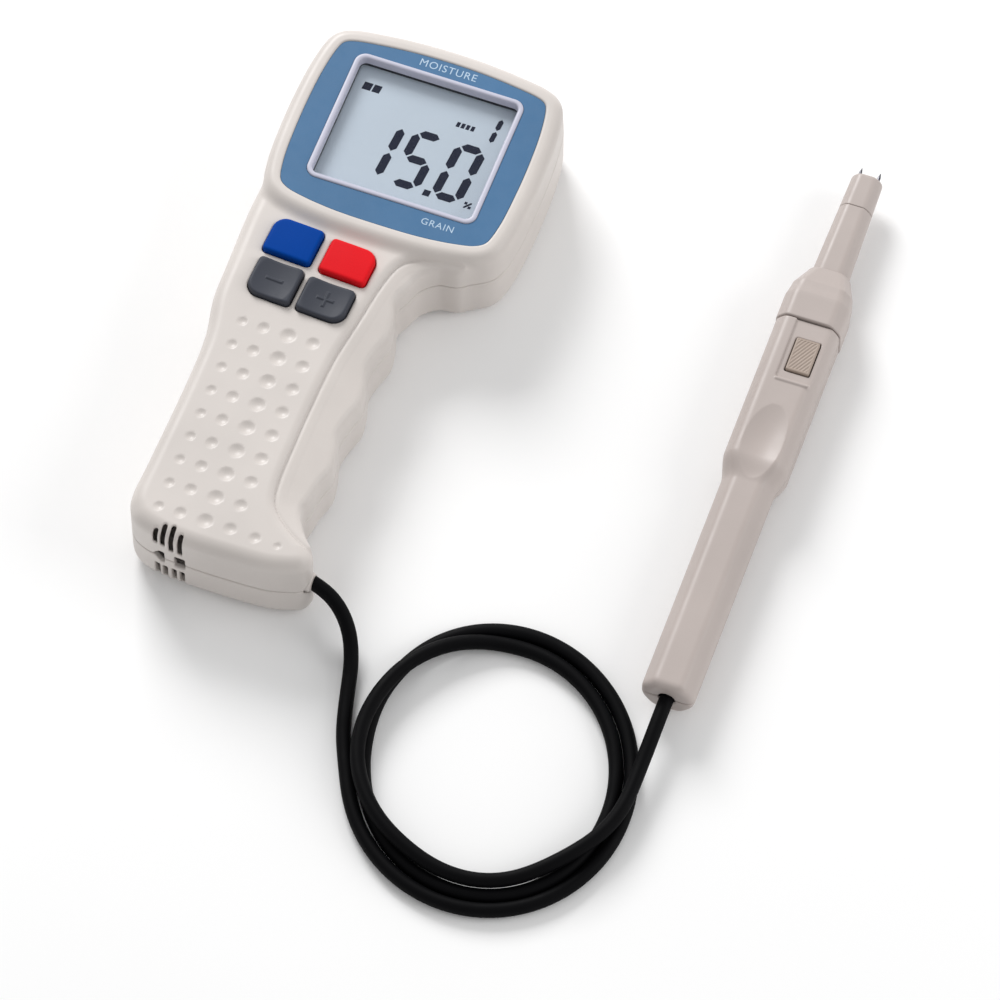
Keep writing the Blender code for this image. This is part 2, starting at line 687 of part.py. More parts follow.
def wire(name, points, radius, parent=None):
    """A straight-segment tube through the points, closed at both ends."""
    curve = bpy.data.curves.new(name, "CURVE")
    curve.dimensions = "3D"
    spline = curve.splines.new("POLY")
    spline.points.add(len(points) - 1)
    for target, point in zip(spline.points, points):
        target.co = (*(Vector(point) * MM), 1.0)
    curve.bevel_depth = radius * MM
    curve.bevel_resolution = 3 if radius > 2 else 2
    curve.use_fill_caps = True
    curve.materials.append(MATERIALS["cord"])
    tube = bpy.data.objects.new(name, curve)
    tube.parent = parent
    PARTS.objects.link(tube)


def evenly_spaced(route, spacing):
    """Points read off the smooth line through a route, about this far apart."""
    fine = smooth_line(route, 12)
    run = np.concatenate([[0], np.cumsum(np.linalg.norm(np.diff(fine, axis=0), axis=1))])
    stations = np.linspace(0, run[-1], math.ceil(run[-1] / spacing) + 1)
    return np.column_stack([np.interp(stations, run, fine[:, axis]) for axis in range(3)])


def make_coil():
    bpy.ops.mesh.primitive_torus_add(
        major_segments=44,
        minor_segments=10,
        major_radius=COIL_MEAN_RADIUS * MM,
        minor_radius=COIL_HALF_BAND * MM,
    )
    coil = bpy.context.active_object
    coil.name = coil.data.name = "cord_coil"
    for collection in list(coil.users_collection):
        collection.objects.unlink(coil)
    PARTS.objects.link(coil)
    coil.data.transform(Matrix.Diagonal((1.0, COIL_STRETCH, 1.0, 1.0)))
    coil.rotation_euler = (0, 0, COIL_TURN)
    coil.location = (COIL_CENTRE[0] * MM, COIL_CENTRE[1] * MM, (COIL_HALF_BAND + 0.05) * MM)
    coil.data.materials.append(MATERIALS["cord"])
    coil.data.shade_smooth()


def make_cord():
    wire("cord_lead_meter", evenly_spaced(METER_ROUTE, CORD_SPACING), CORD_DIAMETER / 2)
    make_coil()
    wire("cord_lead_probe", evenly_spaced(PROBE_ROUTE, CORD_SPACING), CORD_DIAMETER / 2)
    wire("inner_lead", evenly_spaced(INNER_LEAD_ROUTE, 9.0), INNER_WIRE_RADIUS)


# Probe


def section(half_width, half_height, facet):
    """An eight-sided section as (x, z), with flat facets above and below and at both sides."""
    drop = 1.25 * (half_width - facet)
    side = half_height - drop
    quarter = ((half_width, side), (facet, half_height))
    right = [(x, -z) for x, z in quarter[::-1]] + list(quarter)
    return right + [(-x, -z) for x, z in right]


def shrink(dimensions, thickness):
    half_width, half_height, facet = dimensions
    return half_width - thickness, half_height - thickness, facet - 0.45 * thickness


def barrel(name, stations, slot=None, parent=None):
    """A solid along Y through (y, section dimensions) stations."""
    rings = [[(x, y, z) for x, z in section(*dimensions)] for y, dimensions in stations]
    return stack(name, rings, slot, parent=parent)


def mix(first, second, share):
    return tuple(a + (b - a) * share for a, b in zip(first, second))


def handle_stations(thickness):
    end, top = PROBE_END_Y + thickness, NOSE_Y[0] - GAP
    if thickness:
        top += 5
    steps = [
        (end, shrink(HANDLE_NARROW, 1.8)),
        (end + 0.9, shrink(HANDLE_NARROW, 0.5)),
        (end + 2.4, HANDLE_NARROW),
        (-71.5, HANDLE_NARROW),
        (-68.5, mix(HANDLE_NARROW, HANDLE_WIDE, 0.3)),
        (-65.0, mix(HANDLE_NARROW, HANDLE_WIDE, 0.9)),
        (-62.5, HANDLE_WIDE),
        (top, HANDLE_WIDE),
    ]
    return [(y, shrink(dimensions, thickness)) for y, dimensions in steps]


def make_handle(frame):
    for name, side in (("probe_upper_shell", 1), ("probe_lower_shell", -1)):
        shell = barrel(name, handle_stations(0.0), "probe", frame)
        boolean(shell, barrel(f"{name}_inside", handle_stations(PROBE_WALL), parent=frame))
        split, far = side * PROBE_SPLIT_Z, -side * 20
        half = block(
            f"{name}_other_half", (-20, -160, min(split, far)), (20, 10, max(split, far)), parent=frame
        )
        boolean(shell, half)
        hole = rod(f"{name}_cord_hole", (0, -155, 0), (0, -140, 0), BORE_RADIUS, parent=frame)
        boolean(shell, hole)
        if side == 1:
            cut_button_recess(shell, frame)
        else:
            add_screw_bosses(shell, frame)


def cut_button_recess(shell, frame):
    low = (RECESS_X[0], RECESS_Y[0], RECESS_Z)
    boolean(shell, block("button_recess", low, (RECESS_X[1], RECESS_Y[1], 15), parent=frame))
    lip_low = (RECESS_X[0], LIP_Y[0], RECESS_Z)
    lip = block("recess_lip", lip_low, (RECESS_X[1], LIP_Y[1], LIP_Z), parent=frame)
    boolean(shell, lip, "UNION")
    half = [size / 2 + GAP for size in BUTTON_SIZE]
    x, y = BUTTON_CENTRE
    opening = block(
        "button_opening", (x - half[0], y - half[1], 2), (x + half[0], y + half[1], 15), parent=frame
    )
    boolean(shell, opening)
    x, y = THUMB_CENTRE
    centre_z = HANDLE_WIDE[1] + 1.5
    thumb = ellipsoid("thumb_hollow", (x, y, centre_z), (*THUMB_SIZE, THUMB_DEPTH + 1.5))
    thumb.parent = frame
    boolean(shell, thumb)


def add_screw_bosses(shell, frame):
    for i, (y, base_z) in enumerate(PROBE_SCREWS):
        boss = rod(f"probe_boss_{i}", (0, y, base_z), (0, y, -0.6), 3.0, parent=frame)
        boolean(shell, boss, "UNION")
        boolean(shell, rod(f"probe_well_{i}", (0, y, -12), (0, y, -3.2), 2.1, parent=frame))
        boolean(shell, rod(f"probe_pass_{i}", (0, y, -6), (0, y, 2), 1.3, parent=frame))


def make_probe_screws(frame):
    for i, (y, _) in enumerate(PROBE_SCREWS):
        screw = rod(
            f"probe_screw_{i + 1}", (0, y, -5.6), (0, y, -3.5), 1.8, "steel", sides=16, parent=frame
        )
        shank = rod(f"probe_shank_{i}", (0, y, -4), (0, y, 3.0), 1.0, sides=12, parent=frame)
        boolean(screw, shank, "UNION")


def make_nose_and_tip(frame):
    sections = (HANDLE_WIDE, HANDLE_WIDE, NOSE_SHOULDER, NOSE_TOP, shrink(NOSE_TOP, 0.6))
    nose = barrel("probe_nose", list(zip(NOSE_Y, sections)), "probe", frame)
    hollow_y = TUBE_Y[0] - 1.5
    hollow = rod("nose_hollow", (0, NOSE_Y[0] - 3, 0), (0, hollow_y, 0), 7.0, parent=frame)
    boolean(nose, hollow)
    socket = [(y, shrink(TUBE_BASE, -GAP)) for y in (hollow_y - 2, NOSE_Y[-1] + 3)]
    boolean(nose, barrel("nose_socket", socket, parent=frame))

    tube_stations = [(TUBE_Y[0], TUBE_BASE), (NOSE_Y[-1] + 0.5, TUBE_BASE), (TUBE_Y[1], TUBE_TOP)]
    tube = barrel("probe_tube", tube_stations, "probe", frame)
    bore_ends = [(TUBE_Y[0] - 2, TUBE_BASE), (TUBE_Y[1] + 2, TUBE_TOP)]
    bore = [(y, shrink(dimensions, 0.9)) for y, dimensions in bore_ends]
    boolean(tube, barrel("tube_bore", bore, parent=frame))
    tip_stations = [
        (TIP_Y[0], TUBE_TOP),
        (TIP_Y[1] - 1.0, shrink(TUBE_TOP, 0.2)),
        (TIP_Y[1], shrink(TUBE_TOP, 1.0)),
    ]
    tip = barrel("probe_tip", tip_stations, "probe", frame)
    for i, x in enumerate((-NEEDLE_X, NEEDLE_X)):
        boolean(tip, rod(f"tip_bore_{i}", (x, 30, 0), (x, 45.6, 0), 1.5, sides=16, parent=frame))
        boolean(tip, rod(f"needle_bore_{i}", (x, 44, 0), (x, 52, 0), 0.8, sides=16, parent=frame))
        socket = rod(
            f"needle_socket_{i + 1}", (x, 33.0, 0), (x, 45.2, 0), 1.15, "brass", sides=16, parent=frame
        )
        boolean(socket, rod(f"socket_bore_{i}", (x, 36, 0), (x, 48, 0), 0.8, sides=12, parent=frame))
        shank_end = (x, NEEDLE_TIP_Y - 1.4, 0)
        needle = rod(
            f"needle_{i + 1}", (x, 37, 0), shank_end, 0.5, "needle", sides=14, parent=frame
        )
        point = rod(
            f"needle_point_{i}",
            (x, NEEDLE_TIP_Y - 1.6, 0),
            (x, NEEDLE_TIP_Y, 0),
            0.49,
            tip_radius=0.08,
            sides=14,
            parent=frame,
        )
        boolean(needle, point, "UNION")
        route = ((x, 32.6, 0), (x * 0.7, 15, 0), (x * 0.7, 0, 0), (x, -13.2, 0))
        wire(f"needle_wire_{i + 1}", route, 0.5, frame)


def make_probe_switch(frame):
    x, y = BUTTON_CENTRE
    half_x, half_y = BUTTON_SIZE[0] / 2, BUTTON_SIZE[1] / 2
    button = block(
        "probe_button",
        (x - half_x, y - half_y, 6.6),
        (x + half_x, y + half_y, BUTTON_TOP_Z),
        "button",
        origin=(x, y, BUTTON_TOP_Z),
        parent=frame,
    )
    bevel(button, 0.35)
    boolean(button, rod("button_stem", (x, y, BUTTON_STEM_Z), (x, y, 7.5), 1.6, parent=frame), "UNION")
    board_y = (-44.0, -13.6)
    block("probe_board", (-6.5, board_y[0], -0.6), (6.5, board_y[1], 0.8), "board", parent=frame)
    switch = block("probe_switch", (x - 3, y - 3, 1.1), (x + 3, y + 3, 2.6), "switch", parent=frame)
    boolean(switch, rod("probe_plunger", (x, y, 2), (x, y, 3.6), 1.5, parent=frame), "UNION")
    clamp = block("probe_cord_clamp", (-4.5, -139.2, -4.0), (4.5, -131.0, 4.0), "switch", parent=frame)
    bevel(clamp, 0.8)


def make_probe():
    frame = bpy.data.objects.new("probe_frame", None)
    PARTS.objects.link(frame)
    frame.location = Vector(PROBE_ORIGIN) * MM
    frame.rotation_euler = (0, 0, PROBE_TURN)
    make_handle(frame)
    make_nose_and_tip(frame)
    make_probe_switch(frame)
    make_probe_screws(frame)


make_front_case()
make_back_case()
make_case_screws()
make_display()
make_keys()
make_board()
make_batteries()
make_battery_cover()
make_bush()
make_cord()
make_probe()
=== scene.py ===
"""Grain moisture meter with a needle probe on a coiled cord: the finished look over its CAD frame.

The meter lies on its back on z = 0 with the top of its head towards +Y. The probe lies to its
right and the cord lies in a coil between them. Numbers are millimetres unless a name says
otherwise; MM turns them into metres where a mesh is made. Most plastic and rubber pieces are
implicit shapes: a field function is negative inside the piece, and surface_net meshes its zero.
"""

import math

import bmesh
import bpy
import numpy as np
from mathutils import Matrix, Vector


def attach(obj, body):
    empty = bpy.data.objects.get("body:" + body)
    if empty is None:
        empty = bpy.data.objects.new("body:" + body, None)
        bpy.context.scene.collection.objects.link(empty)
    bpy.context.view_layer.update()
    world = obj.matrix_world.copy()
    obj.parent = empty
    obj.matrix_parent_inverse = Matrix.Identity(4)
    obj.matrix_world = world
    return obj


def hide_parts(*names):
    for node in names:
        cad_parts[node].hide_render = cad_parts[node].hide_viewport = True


MM = 0.001
QUICK = 1.0

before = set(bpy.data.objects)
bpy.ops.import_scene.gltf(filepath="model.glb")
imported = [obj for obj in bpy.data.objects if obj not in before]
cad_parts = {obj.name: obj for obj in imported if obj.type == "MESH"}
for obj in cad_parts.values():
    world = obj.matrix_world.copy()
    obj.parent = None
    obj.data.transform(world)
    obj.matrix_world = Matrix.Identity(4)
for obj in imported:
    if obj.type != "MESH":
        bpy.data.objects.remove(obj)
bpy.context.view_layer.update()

# Levels of the meter, as in the CAD.
PARTING_Z, PARTING_RISE, PARTING_MID_Y = 18.5, 0.0311, -36.0
GRIP_FACE_Z = 30.0
RIM_Z = 32.5
SEAT_Z = 31.3
WALL = 2.2
BACK_RADIUS_Z = 6.0
BACK_INSET = 5.5
HALF_GAP = 0.15

# Right half of the head's outline, from its lower middle round to its upper middle.
HEAD_HALF = (
    (0.0, -39.3), (14.0, -39.0), (26.0, -37.6), (34.0, -35.4), (39.0, -30.8), (41.2, -22.0),
    (42.0, -10.0), (42.1, 3.0), (41.5, 15.0), (39.9, 25.0), (37.2, 29.9), (32.0, 32.6),
    (22.0, 34.2), (11.0, 35.2), (0.0, 35.5),
)
# Grip outline as (x, y, width of the rounded band between its wall and its flat face).
GRIP_LOWER_RIGHT = (
    (0.0, -158.0, 5.0), (10.0, -157.5, 5.0), (16.0, -156.2, 5.0), (20.9, -154.3, 5.0),
    (22.9, -151.2, 5.0), (22.5, -147.8, 5.5), (20.2, -144.6, 6.5), (17.3, -141.0, 7.5),
    (14.8, -137.0, 8.5), (13.4, -132.8, 9.0),
)
GRIP_UPPER_LEFT = (
    (16.0, -49.0, 7.8), (18.2, -43.9, 8.0), (22.8, -40.0, 7.5), (29.5, -38.2, 7.0),
    (33.0, -30.0, 6.0), (28.0, -22.0, 5.0), (0.0, -20.0, 5.0), (-30.0, -22.0, 5.0),
    (-38.6, -29.0, 5.0), (-40.2, -38.0, 5.0), (-39.6, -60.0, 4.8), (-39.0, -73.0, 4.7),
    (-36.3, -87.0, 4.5), (-35.7, -105.0, 4.5), (-36.2, -134.0, 4.6), (-36.6, -146.0, 5.0),
    (-35.0, -151.8, 5.5), (-31.0, -155.6, 5.5), (-23.0, -157.6, 5.2), (-11.0, -158.1, 5.0),
)
# Finger scallops of the grip's right side: a cosine wave in x along y.
SCALLOP_PITCH, SCALLOP_DEPTH, SCALLOP_MID_X, SCALLOP_CREST_Y = 25.0, 1.3, 15.4, -90.2

# Crease where the rolled rim of the grip's face meets the lower finger side, top to bottom.
CREASE = (
    (16.6, -38.4), (12.4, -41.3), (10.3, -44.1), (8.8, -48.7), (7.6, -54.9), (6.7, -62.0),
    (5.9, -68.0), (5.0, -74.0), (4.0, -81.7), (3.6, -90.7), (3.4, -100.0), (3.3, -107.0),
    (3.4, -115.0), (3.5, -122.5), (4.0, -130.0), (5.4, -135.4), (8.4, -139.4), (12.2, -142.5),
    (15.9, -144.9), (21.0, -147.4),
)
# Corners well outside the grip, which close the crease into the outline of the raised face.
FAR_CORNERS = (
    (60.0, -150.0), (60.0, -200.0), (-80.0, -200.0), (-80.0, 70.0), (60.0, 70.0), (60.0, -30.0),
)
RIM_ROLL = (2.8, 1.8)  # width and height of the rolled rim beside the crease
FINGER_Z, FINGER_SLOPE, SHOULDER = 28.75, 0.25, 2.6  # the lower side: level, fall, rounding
CREASE_DEPTH, CREASE_WIDTH = 0.55, 0.9

# Dimples of the grip's face: x and diameter of each column, and the rows they repeat in.
DIMPLE_COLUMNS = ((-26.8, 3.3), (-19.9, 4.0), (-11.8, 5.1), (-3.7, 4.2))
DIMPLE_ROW_Y, DIMPLE_PITCH, DIMPLE_ROWS = -79.3, 8.7, 9
DIMPLE_DEPTH, DIMPLE_EASE = 0.155, 1.3  # depth as a share of the diameter, softness of the rim
LONE_DIMPLES = ((4.4, -149.3, 3.7), (11.8, -149.6, 2.5))

# Display: half sizes about the head's middle, outwards in, and levels.
PANEL_INSET = 5.7  # from the head's outline to the recess for the panel
OPENING_HALF = (26.3, 22.5)
BEZEL_HALF = (28.0, 24.05)
HOLE_HALF = (28.3, 24.35)
FILM_HOLE_HALF = (28.1, 24.15)
WINDOW_HALF = (26.0, 22.2)
HOLDER_OUTER_HALF = (30.5, 26.6)
WINDOW_Z = (28.2, 29.0)
LCD_TOP_Z = 27.8
LCD_INK_Z = 0.05  # thickness of a segment
DIGIT_SLANT, DIGIT_SIZE, DIGIT_STROKE = 0.075, (10.2, 22.0), 2.75

# Keys: name, centre, size, large corner (0 lower left, anticlockwise), material, face.
KEY_TILT = math.radians(-2.5)
KEYS = (
    ("key_power", (-22.3, -47.4), (15.8, 13.0), 3, "blue_key", "flat"),
    ("key_measure", (-3.6, -48.8), (15.4, 12.4), 2, "red_key", "flat"),
    ("key_minus", (-22.6, -62.9), (14.8, 13.2), 0, "grey_key", "minus"),
    ("key_plus", (-5.4, -64.1), (15.4, 12.2), 1, "grey_key", "plus"),
)
SMALL_CORNER, LARGE_CORNER = 1.3, 4.2
KEY_TOP_Z = 32.2
KEY_BASE_Z, KEY_FLANGE_TOP_Z, KEY_LIP = 26.2, 27.4, 0.8
KEY_CLEARANCE = 0.3

# Case screws: x, y and the level of the tip, and the sleeves of the back case that they pass.
CASE_SCREWS = ((-34.0, 22.0, 26.0), (34.0, 22.0, 26.0), (9.0, -52.0, 25.0), (-4.0, -149.0, 25.0))
SCREW_HEAD_Z = (9.5, 11.8)
SLEEVE_RADIUS, HEAD_BORE, SHANK_BORE = 4.2, 2.9, 1.6
THREAD_PITCH, THREAD_DEPTH, CROSS_HALF = 0.8, 0.12, 0.32

# Battery bay in the back case, the ledge at its far end, and its cover.
BAY_X, BAY_Y = (-26.5, 6.5), (-131.0, -69.0)
LEDGE_Y, LEDGE_Z = (-133.0, -127.6), (2.3, 3.8)
COVER_LENGTH, COVER_Z, GROOVE_PITCH = 56.2, (0.15, 1.8), 2.5

# Vents and strap eyes at the grip's lower left corner.
VENT_WIDTH = 1.6
FRONT_VENTS = (
    (-25.1, -155.2, 22.4), (-22.6, -153.7, 22.2), (-19.8, -153.5, 20.6), (-16.9, -155.2, 20.4),
)
BACK_VENT_X = (-24.8, -22.2, -19.2, -16.6)
BACK_VENT_Z = (2.2, 10.2)
STRAP_EYES = ((-24.4, 4.4), (-17.1, 3.4))
STRAP_EYE_Z = (12.2, 18.3)
BACK_VENT_REACH_Y, EYE_REACH_Y = -151.0, -151.5  # how far into the case they are cut
# The wall is thinner in a box behind the vents, so that they open into the case.
VENT_WALL = 0.9
VENT_CORNER = ((-20.8, -154.5), (6.2, 5.5))

# Cord bush, along X: its centre in y and z.
BUSH_CENTRE, BUSH_X, BUSH_RADIUS = (-149.9, 15.0), (14.2, 23.4), 3.2

# Probe, in its own frame: +Y towards the needles, +Z out of the button's facet.
PROBE_ORIGIN = (133.6, 0.0, 9.2)
PROBE_TURN = math.radians(0.88)
PROBE_END_Y = -147.5
# Eight-sided sections: half width, half height and half width of the upper and lower facets.
HANDLE_NARROW = (8.4, 7.3, 4.6)
HANDLE_WIDE = (10.3, 9.2, 7.2)
NOSE_SHOULDER = (9.8, 8.6, 6.9)
NOSE_TOP = (7.2, 6.2, 4.6)
TUBE_BASE = (6.0, 5.0, 3.4)
TUBE_TOP = (5.4, 4.2, 3.0)
SWELL_Y = (-71.5, -62.5)
NOSE_Y = (-12.0, -2.5, 2.2, 8.6, 9.4)
NOSE_PROUD = 0.3
TUBE_Y = (-2.0, 35.3)
TIP_Y = (35.6, 48.0)
NEEDLE_X, NEEDLE_TIP_Y = 3.05, 51.8
NEEDLE_BORE, SOCKET_BORE, SOCKET_END_Y = 0.8, 1.5, 45.6
PROBE_WALL = 1.7
PROBE_SCREWS = ((-48.0, -8.2), (-125.0, -6.3))  # y, and the level where the sleeve starts
PROBE_HEAD_Z = (-5.6, -3.5)
PROBE_SLEEVE, PROBE_HEAD_BORE, PROBE_SHANK_BORE = 3.0, 2.1, 1.3
BUTTON_CENTRE, BUTTON_SIZE, BUTTON_Z = (2.4, -24.9), (7.6, 12.1), (6.6, 9.3)
STEM_RADIUS, STEM_Z, RIB_DEPTH = 1.6, (4.6, 7.2), 0.22
RECESS_X, RECESS_Y, RECESS_Z = (-3.4, 7.7), (-34.4, -9.0), 8.5
LIP_X, LIP_Y, LIP_Z = (-3.25, 7.55), (-35.35, -34.35), 9.6
THUMB_CENTRE, THUMB_SIZE, THUMB_DEPTH = (0.4, -57.0), (6.3, 13.2), 1.35

# Cord: from the bush to the coil, round the coil, and on to the probe.
CORD_DIAMETER = 4.6
FLOOR_LINE = CORD_DIAMETER / 2
CORD_GAP = 4.68  # between the centres of strands that touch
METER_ROUTE = (
    (18.5, -149.9, 15.0), (23.4, -149.9, 15.0), (30.6, -151.6, 12.4), (37.3, -157.0, 7.1),
    (41.3, -165.6, 3.4), (43.4, -174.2, 2.3), (45.7, -183.0, 2.3), (47.9, -190.0, 2.3),
)
PROBE_ROUTE = (
    (136.1, -171.0, 7.3), (136.1, -165.0, 7.8), (136.05, -158.5, 8.5), (136.0, -152.5, 9.1),
    (135.97, -147.0, 9.2), (135.94, -144.0, 9.2),
)
COIL_CENTRE = (93.0, -185.0)
COIL_TURN = math.radians(20.3)
COIL_HALF = (42.9, 47.7)
# Strand's distance from the outermost turn, against the angle run round the coil in degrees.
COIL_OFFSETS = (
    (184, 0.0), (270, 0.0), (360, 0.0), (450, 0.0), (500, -2.8), (540, -4.9), (630, -4.75),
    (720, -4.7), (810, -4.7), (860, -3.6), (892, -2.9), (920, -5.0), (944, -7.6), (964, -8.4),
    (990, -8.5), (1010, -8.4), (1024, -7.4), (1036, -5.5), (1048, -3.0), (1059, -0.9), (1070, 0.6),
)
HUMP_REACH = 5  # degrees of coil over which a crossing's hump is spread, each way
CORD_EASE = 14  # rounds of smoothing over the whole cord
ROUTE_STEP = 6  # degrees of coil between the points of the route
CORD_SAMPLES = 560


# Number helpers


def smooth_max(a, b, k):
    """The larger of two fields, with a rounded edge about 0.85 k in radius where they meet."""
    h = np.maximum(k - np.abs(a - b), 0.0) / k
    return np.maximum(a, b) + h * h * k * 0.25


def smooth_min(a, b, k):
    return -smooth_max(-a, -b, k)


def cut(shape, removed, k):
    """The shape without what is inside the removed field, the new edges rounded."""
    return smooth_max(shape, -removed, k)


def smooth_step(value, low, high):
    t = np.clip((value - low) / (high - low), 0.0, 1.0)
    return t * t * (3 - 2 * t)


def mix(a, b, share):
    return a + (b - a) * share


def smooth_loop(controls, samples):
    """Points on a closed Catmull-Rom curve through the controls."""
    points = np.array(controls, float)
    before, after = np.roll(points, 1, axis=0), np.roll(points, -1, axis=0)
    beyond = np.roll(points, -2, axis=0)
    bend = 2 * before - 5 * points + 4 * after - beyond
    twist = 3 * points - before - 3 * after + beyond
    curve = []
    for t in np.arange(samples) / samples:
        curve.append(points + ((after - before) * t + bend * t**2 + twist * t**3) / 2)
    return np.stack(curve, axis=1).reshape(-1, points.shape[1])


def smooth_line(controls, samples):
    """Points on an open Catmull-Rom curve through the controls."""
    points = np.array(controls, float)
    first, last = 2 * points[0] - points[1], 2 * points[-1] - points[-2]
    closed = smooth_loop(np.vstack([first, points, last]), samples)
    return closed[samples : samples * len(points) + 1]


def rounded_box(x, y, centre, half, radii, turn=0.0):
    """Distance to a rectangle with rounded corners; radii is one number or one for each corner."""
    dx, dy = x - centre[0], y - centre[1]
    if turn:
        c, s = math.cos(turn), math.sin(turn)
        dx, dy = dx * c + dy * s, dy * c - dx * s
    if np.ndim(radii):
        lower = np.where(dx < 0, radii[0], radii[1])
        upper = np.where(dx < 0, radii[3], radii[2])
        radii = np.where(dy < 0, lower, upper)
    qx, qy = np.abs(dx) - half[0] + radii, np.abs(dy) - half[1] + radii
    outer = np.hypot(np.maximum(qx, 0), np.maximum(qy, 0))
    return outer + np.minimum(np.maximum(qx, qy), 0) - radii


def range_box(x, y, x_range, y_range, radius):
    """Distance to the rounded rectangle that fills a range of x and a range of y."""
    centre = (sum(x_range) / 2, sum(y_range) / 2)
    half = ((x_range[1] - x_range[0]) / 2, (y_range[1] - y_range[0]) / 2)
    return rounded_box(x, y, centre, half, radius)


def span(value, low, high):
    """Distance to the slab between two levels."""
    return np.maximum(low - value, value - high)


def rounded_edge(inward, drop, side, top):
    """Field of a wall and a face joined by a quarter of an ellipse, side wide and top high."""
    across, up = np.maximum(1 - inward / side, 0), np.maximum(1 - drop / top, 0)
    return (np.hypot(across, up) - 1) * np.minimum(side, top)


# Surface nets


def axis_steps(low, high, step, fine=()):
    """Grid lines from low to high; fine lists (from, to, step) stretches with a step of their own."""
    lines = [low]
    while lines[-1] < high:
        here = step * QUICK
        for start, end, small in fine:
            if start - 0.5 * here <= lines[-1] < end:
                here = min(here, small * QUICK)
        lines.append(lines[-1] + here)
    return np.array(lines)


def around(centre, size, margin, step):
    """Grid lines over a size about a centre, with a margin at both ends."""
    reach = size / 2 + margin
    return axis_steps(centre - reach, centre + reach, step)


def field_gradient(field, points, reach):
    slopes = []
    for axis in range(3):
        step = np.zeros(3)
        step[axis] = reach
        ahead, behind = (points + step).T, (points - step).T
        slopes.append((field(*ahead) - field(*behind)) / (2 * reach))
    return np.stack(slopes, axis=1)


def crossings(values, axes):
    """For each grid edge that the surface crosses: its axis, low corner, crossing point and sense."""
    for axis in range(3):
        low = [slice(None)] * 3
        high = [slice(None)] * 3
        low[axis], high[axis] = slice(0, -1), slice(1, None)
        a, b = values[tuple(low)], values[tuple(high)]
        index = np.argwhere((a < 0) != (b < 0))
        first, second = a[tuple(index.T)], b[tuple(index.T)]
        point = np.stack([axes[i][index[:, i]] for i in range(3)], axis=1)
        width = axes[axis][index[:, axis] + 1] - axes[axis][index[:, axis]]
        point[:, axis] += first / (first - second) * width
        yield axis, index, point, first < 0


def surface_net(field, axes):
    """Vertices and quads of the field's zero surface, one vertex in each grid cell it passes."""
    flat = [np.repeat(axes[0], len(axes[1])), np.tile(axes[1], len(axes[0]))]
    plane = (len(axes[0]), len(axes[1]))
    values = np.empty((*plane, len(axes[2])))
    for k, z in enumerate(axes[2]):
        values[:, :, k] = field(flat[0], flat[1], np.full(len(flat[0]), z)).reshape(plane)
    cells = tuple(count - 1 for count in values.shape)
    total = np.zeros((np.prod(cells), 3))
    count = np.zeros(np.prod(cells))
    corners = []
    for axis, index, point, inside_low in crossings(values, axes):
        second, third = [(1, 2), (2, 0), (0, 1)][axis]
        quad = []
        for back_second, back_third in ((1, 1), (0, 1), (0, 0), (1, 0)):
            cell = index.copy()
            cell[:, second] -= back_second
            cell[:, third] -= back_third
            quad.append(np.ravel_multi_index(cell.T, cells, mode="clip"))
            np.add.at(total, quad[-1], point)
            np.add.at(count, quad[-1], 1)
        quad = np.stack(quad, axis=1)
        corners.append(np.where(inside_low[:, None], quad, quad[:, ::-1]))
    used = np.flatnonzero(count)
    lookup = np.full(len(count), -1)
    lookup[used] = np.arange(len(used))
    points = total[used] / count[used][:, None]
    quads = lookup[np.concatenate(corners)]
    return settled(field, points, quads, min(np.diff(axes[2]).min(), 0.6)), quads


def settled(field, points, quads, reach):
    """The vertices evened out once and then moved onto the surface."""
    for relax in (1, 0, 0, 0):
        if relax:
            total, count = np.zeros_like(points), np.zeros(len(points))
            for i in range(4):
                for j in ((i + 1) % 4, (i + 3) % 4):
                    np.add.at(total, quads[:, i], points[quads[:, j]])
                    np.add.at(count, quads[:, i], 1)
            points = 0.5 * points + 0.5 * total / np.maximum(count, 1)[:, None]
        slope = field_gradient(field, points, 0.05)
        length = np.maximum((slope**2).sum(axis=1), 0.05)
        step = slope * (field(*points.T) / length)[:, None]
        size = np.maximum(np.linalg.norm(step, axis=1), 1e-9)
        points = points - step * np.minimum(1, reach / size)[:, None]
    return points


# Objects

VISUAL = bpy.data.collections.new("visual")
bpy.context.scene.collection.children.link(VISUAL)


def add_piece(name, mesh, slot, body="meter_and_probe", place=None, replaces=()):
    """A visual piece that wears a slot's material, stands for CAD nodes and rides on a body."""
    obj = bpy.data.objects.new(name, mesh)
    if place is not None:
        obj.matrix_world = place
    VISUAL.objects.link(obj)
    if not mesh.materials:
        mesh.materials.append(MATERIALS[slot])
    if replaces:
        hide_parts(*replaces)
    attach(obj, body)
    return obj


def net_mesh(name, field, axes, shade_reach):
    """The field's surface as a mesh, its shading taken from the field over a short reach."""
    points, quads = surface_net(field, axes)
    mesh = bpy.data.meshes.new(name)
    mesh.vertices.add(len(points))
    mesh.vertices.foreach_set("co", (points * MM).astype(np.float32).ravel())
    mesh.loops.add(4 * len(quads))
    mesh.loops.foreach_set("vertex_index", quads.astype(np.int32).ravel())
    mesh.polygons.add(len(quads))
    mesh.polygons.foreach_set("loop_start", np.arange(0, 4 * len(quads), 4, dtype=np.int32))
    mesh.update(calc_edges=True)
    mesh.polygons.foreach_set("use_smooth", np.ones(len(quads), bool))
    normals = field_gradient(field, points, shade_reach)
    normals /= np.maximum(np.linalg.norm(normals, axis=1), 1e-9)[:, None]
    mesh.normals_split_custom_set_from_vertices(normals)
    return mesh


def add_printed(name, mesh, slot, material):
    """Ink that belongs to a slot and wears a material of its own."""
    add_piece(name, mesh, slot)
    mesh.materials.clear()
    mesh.materials.append(MATERIALS[material])


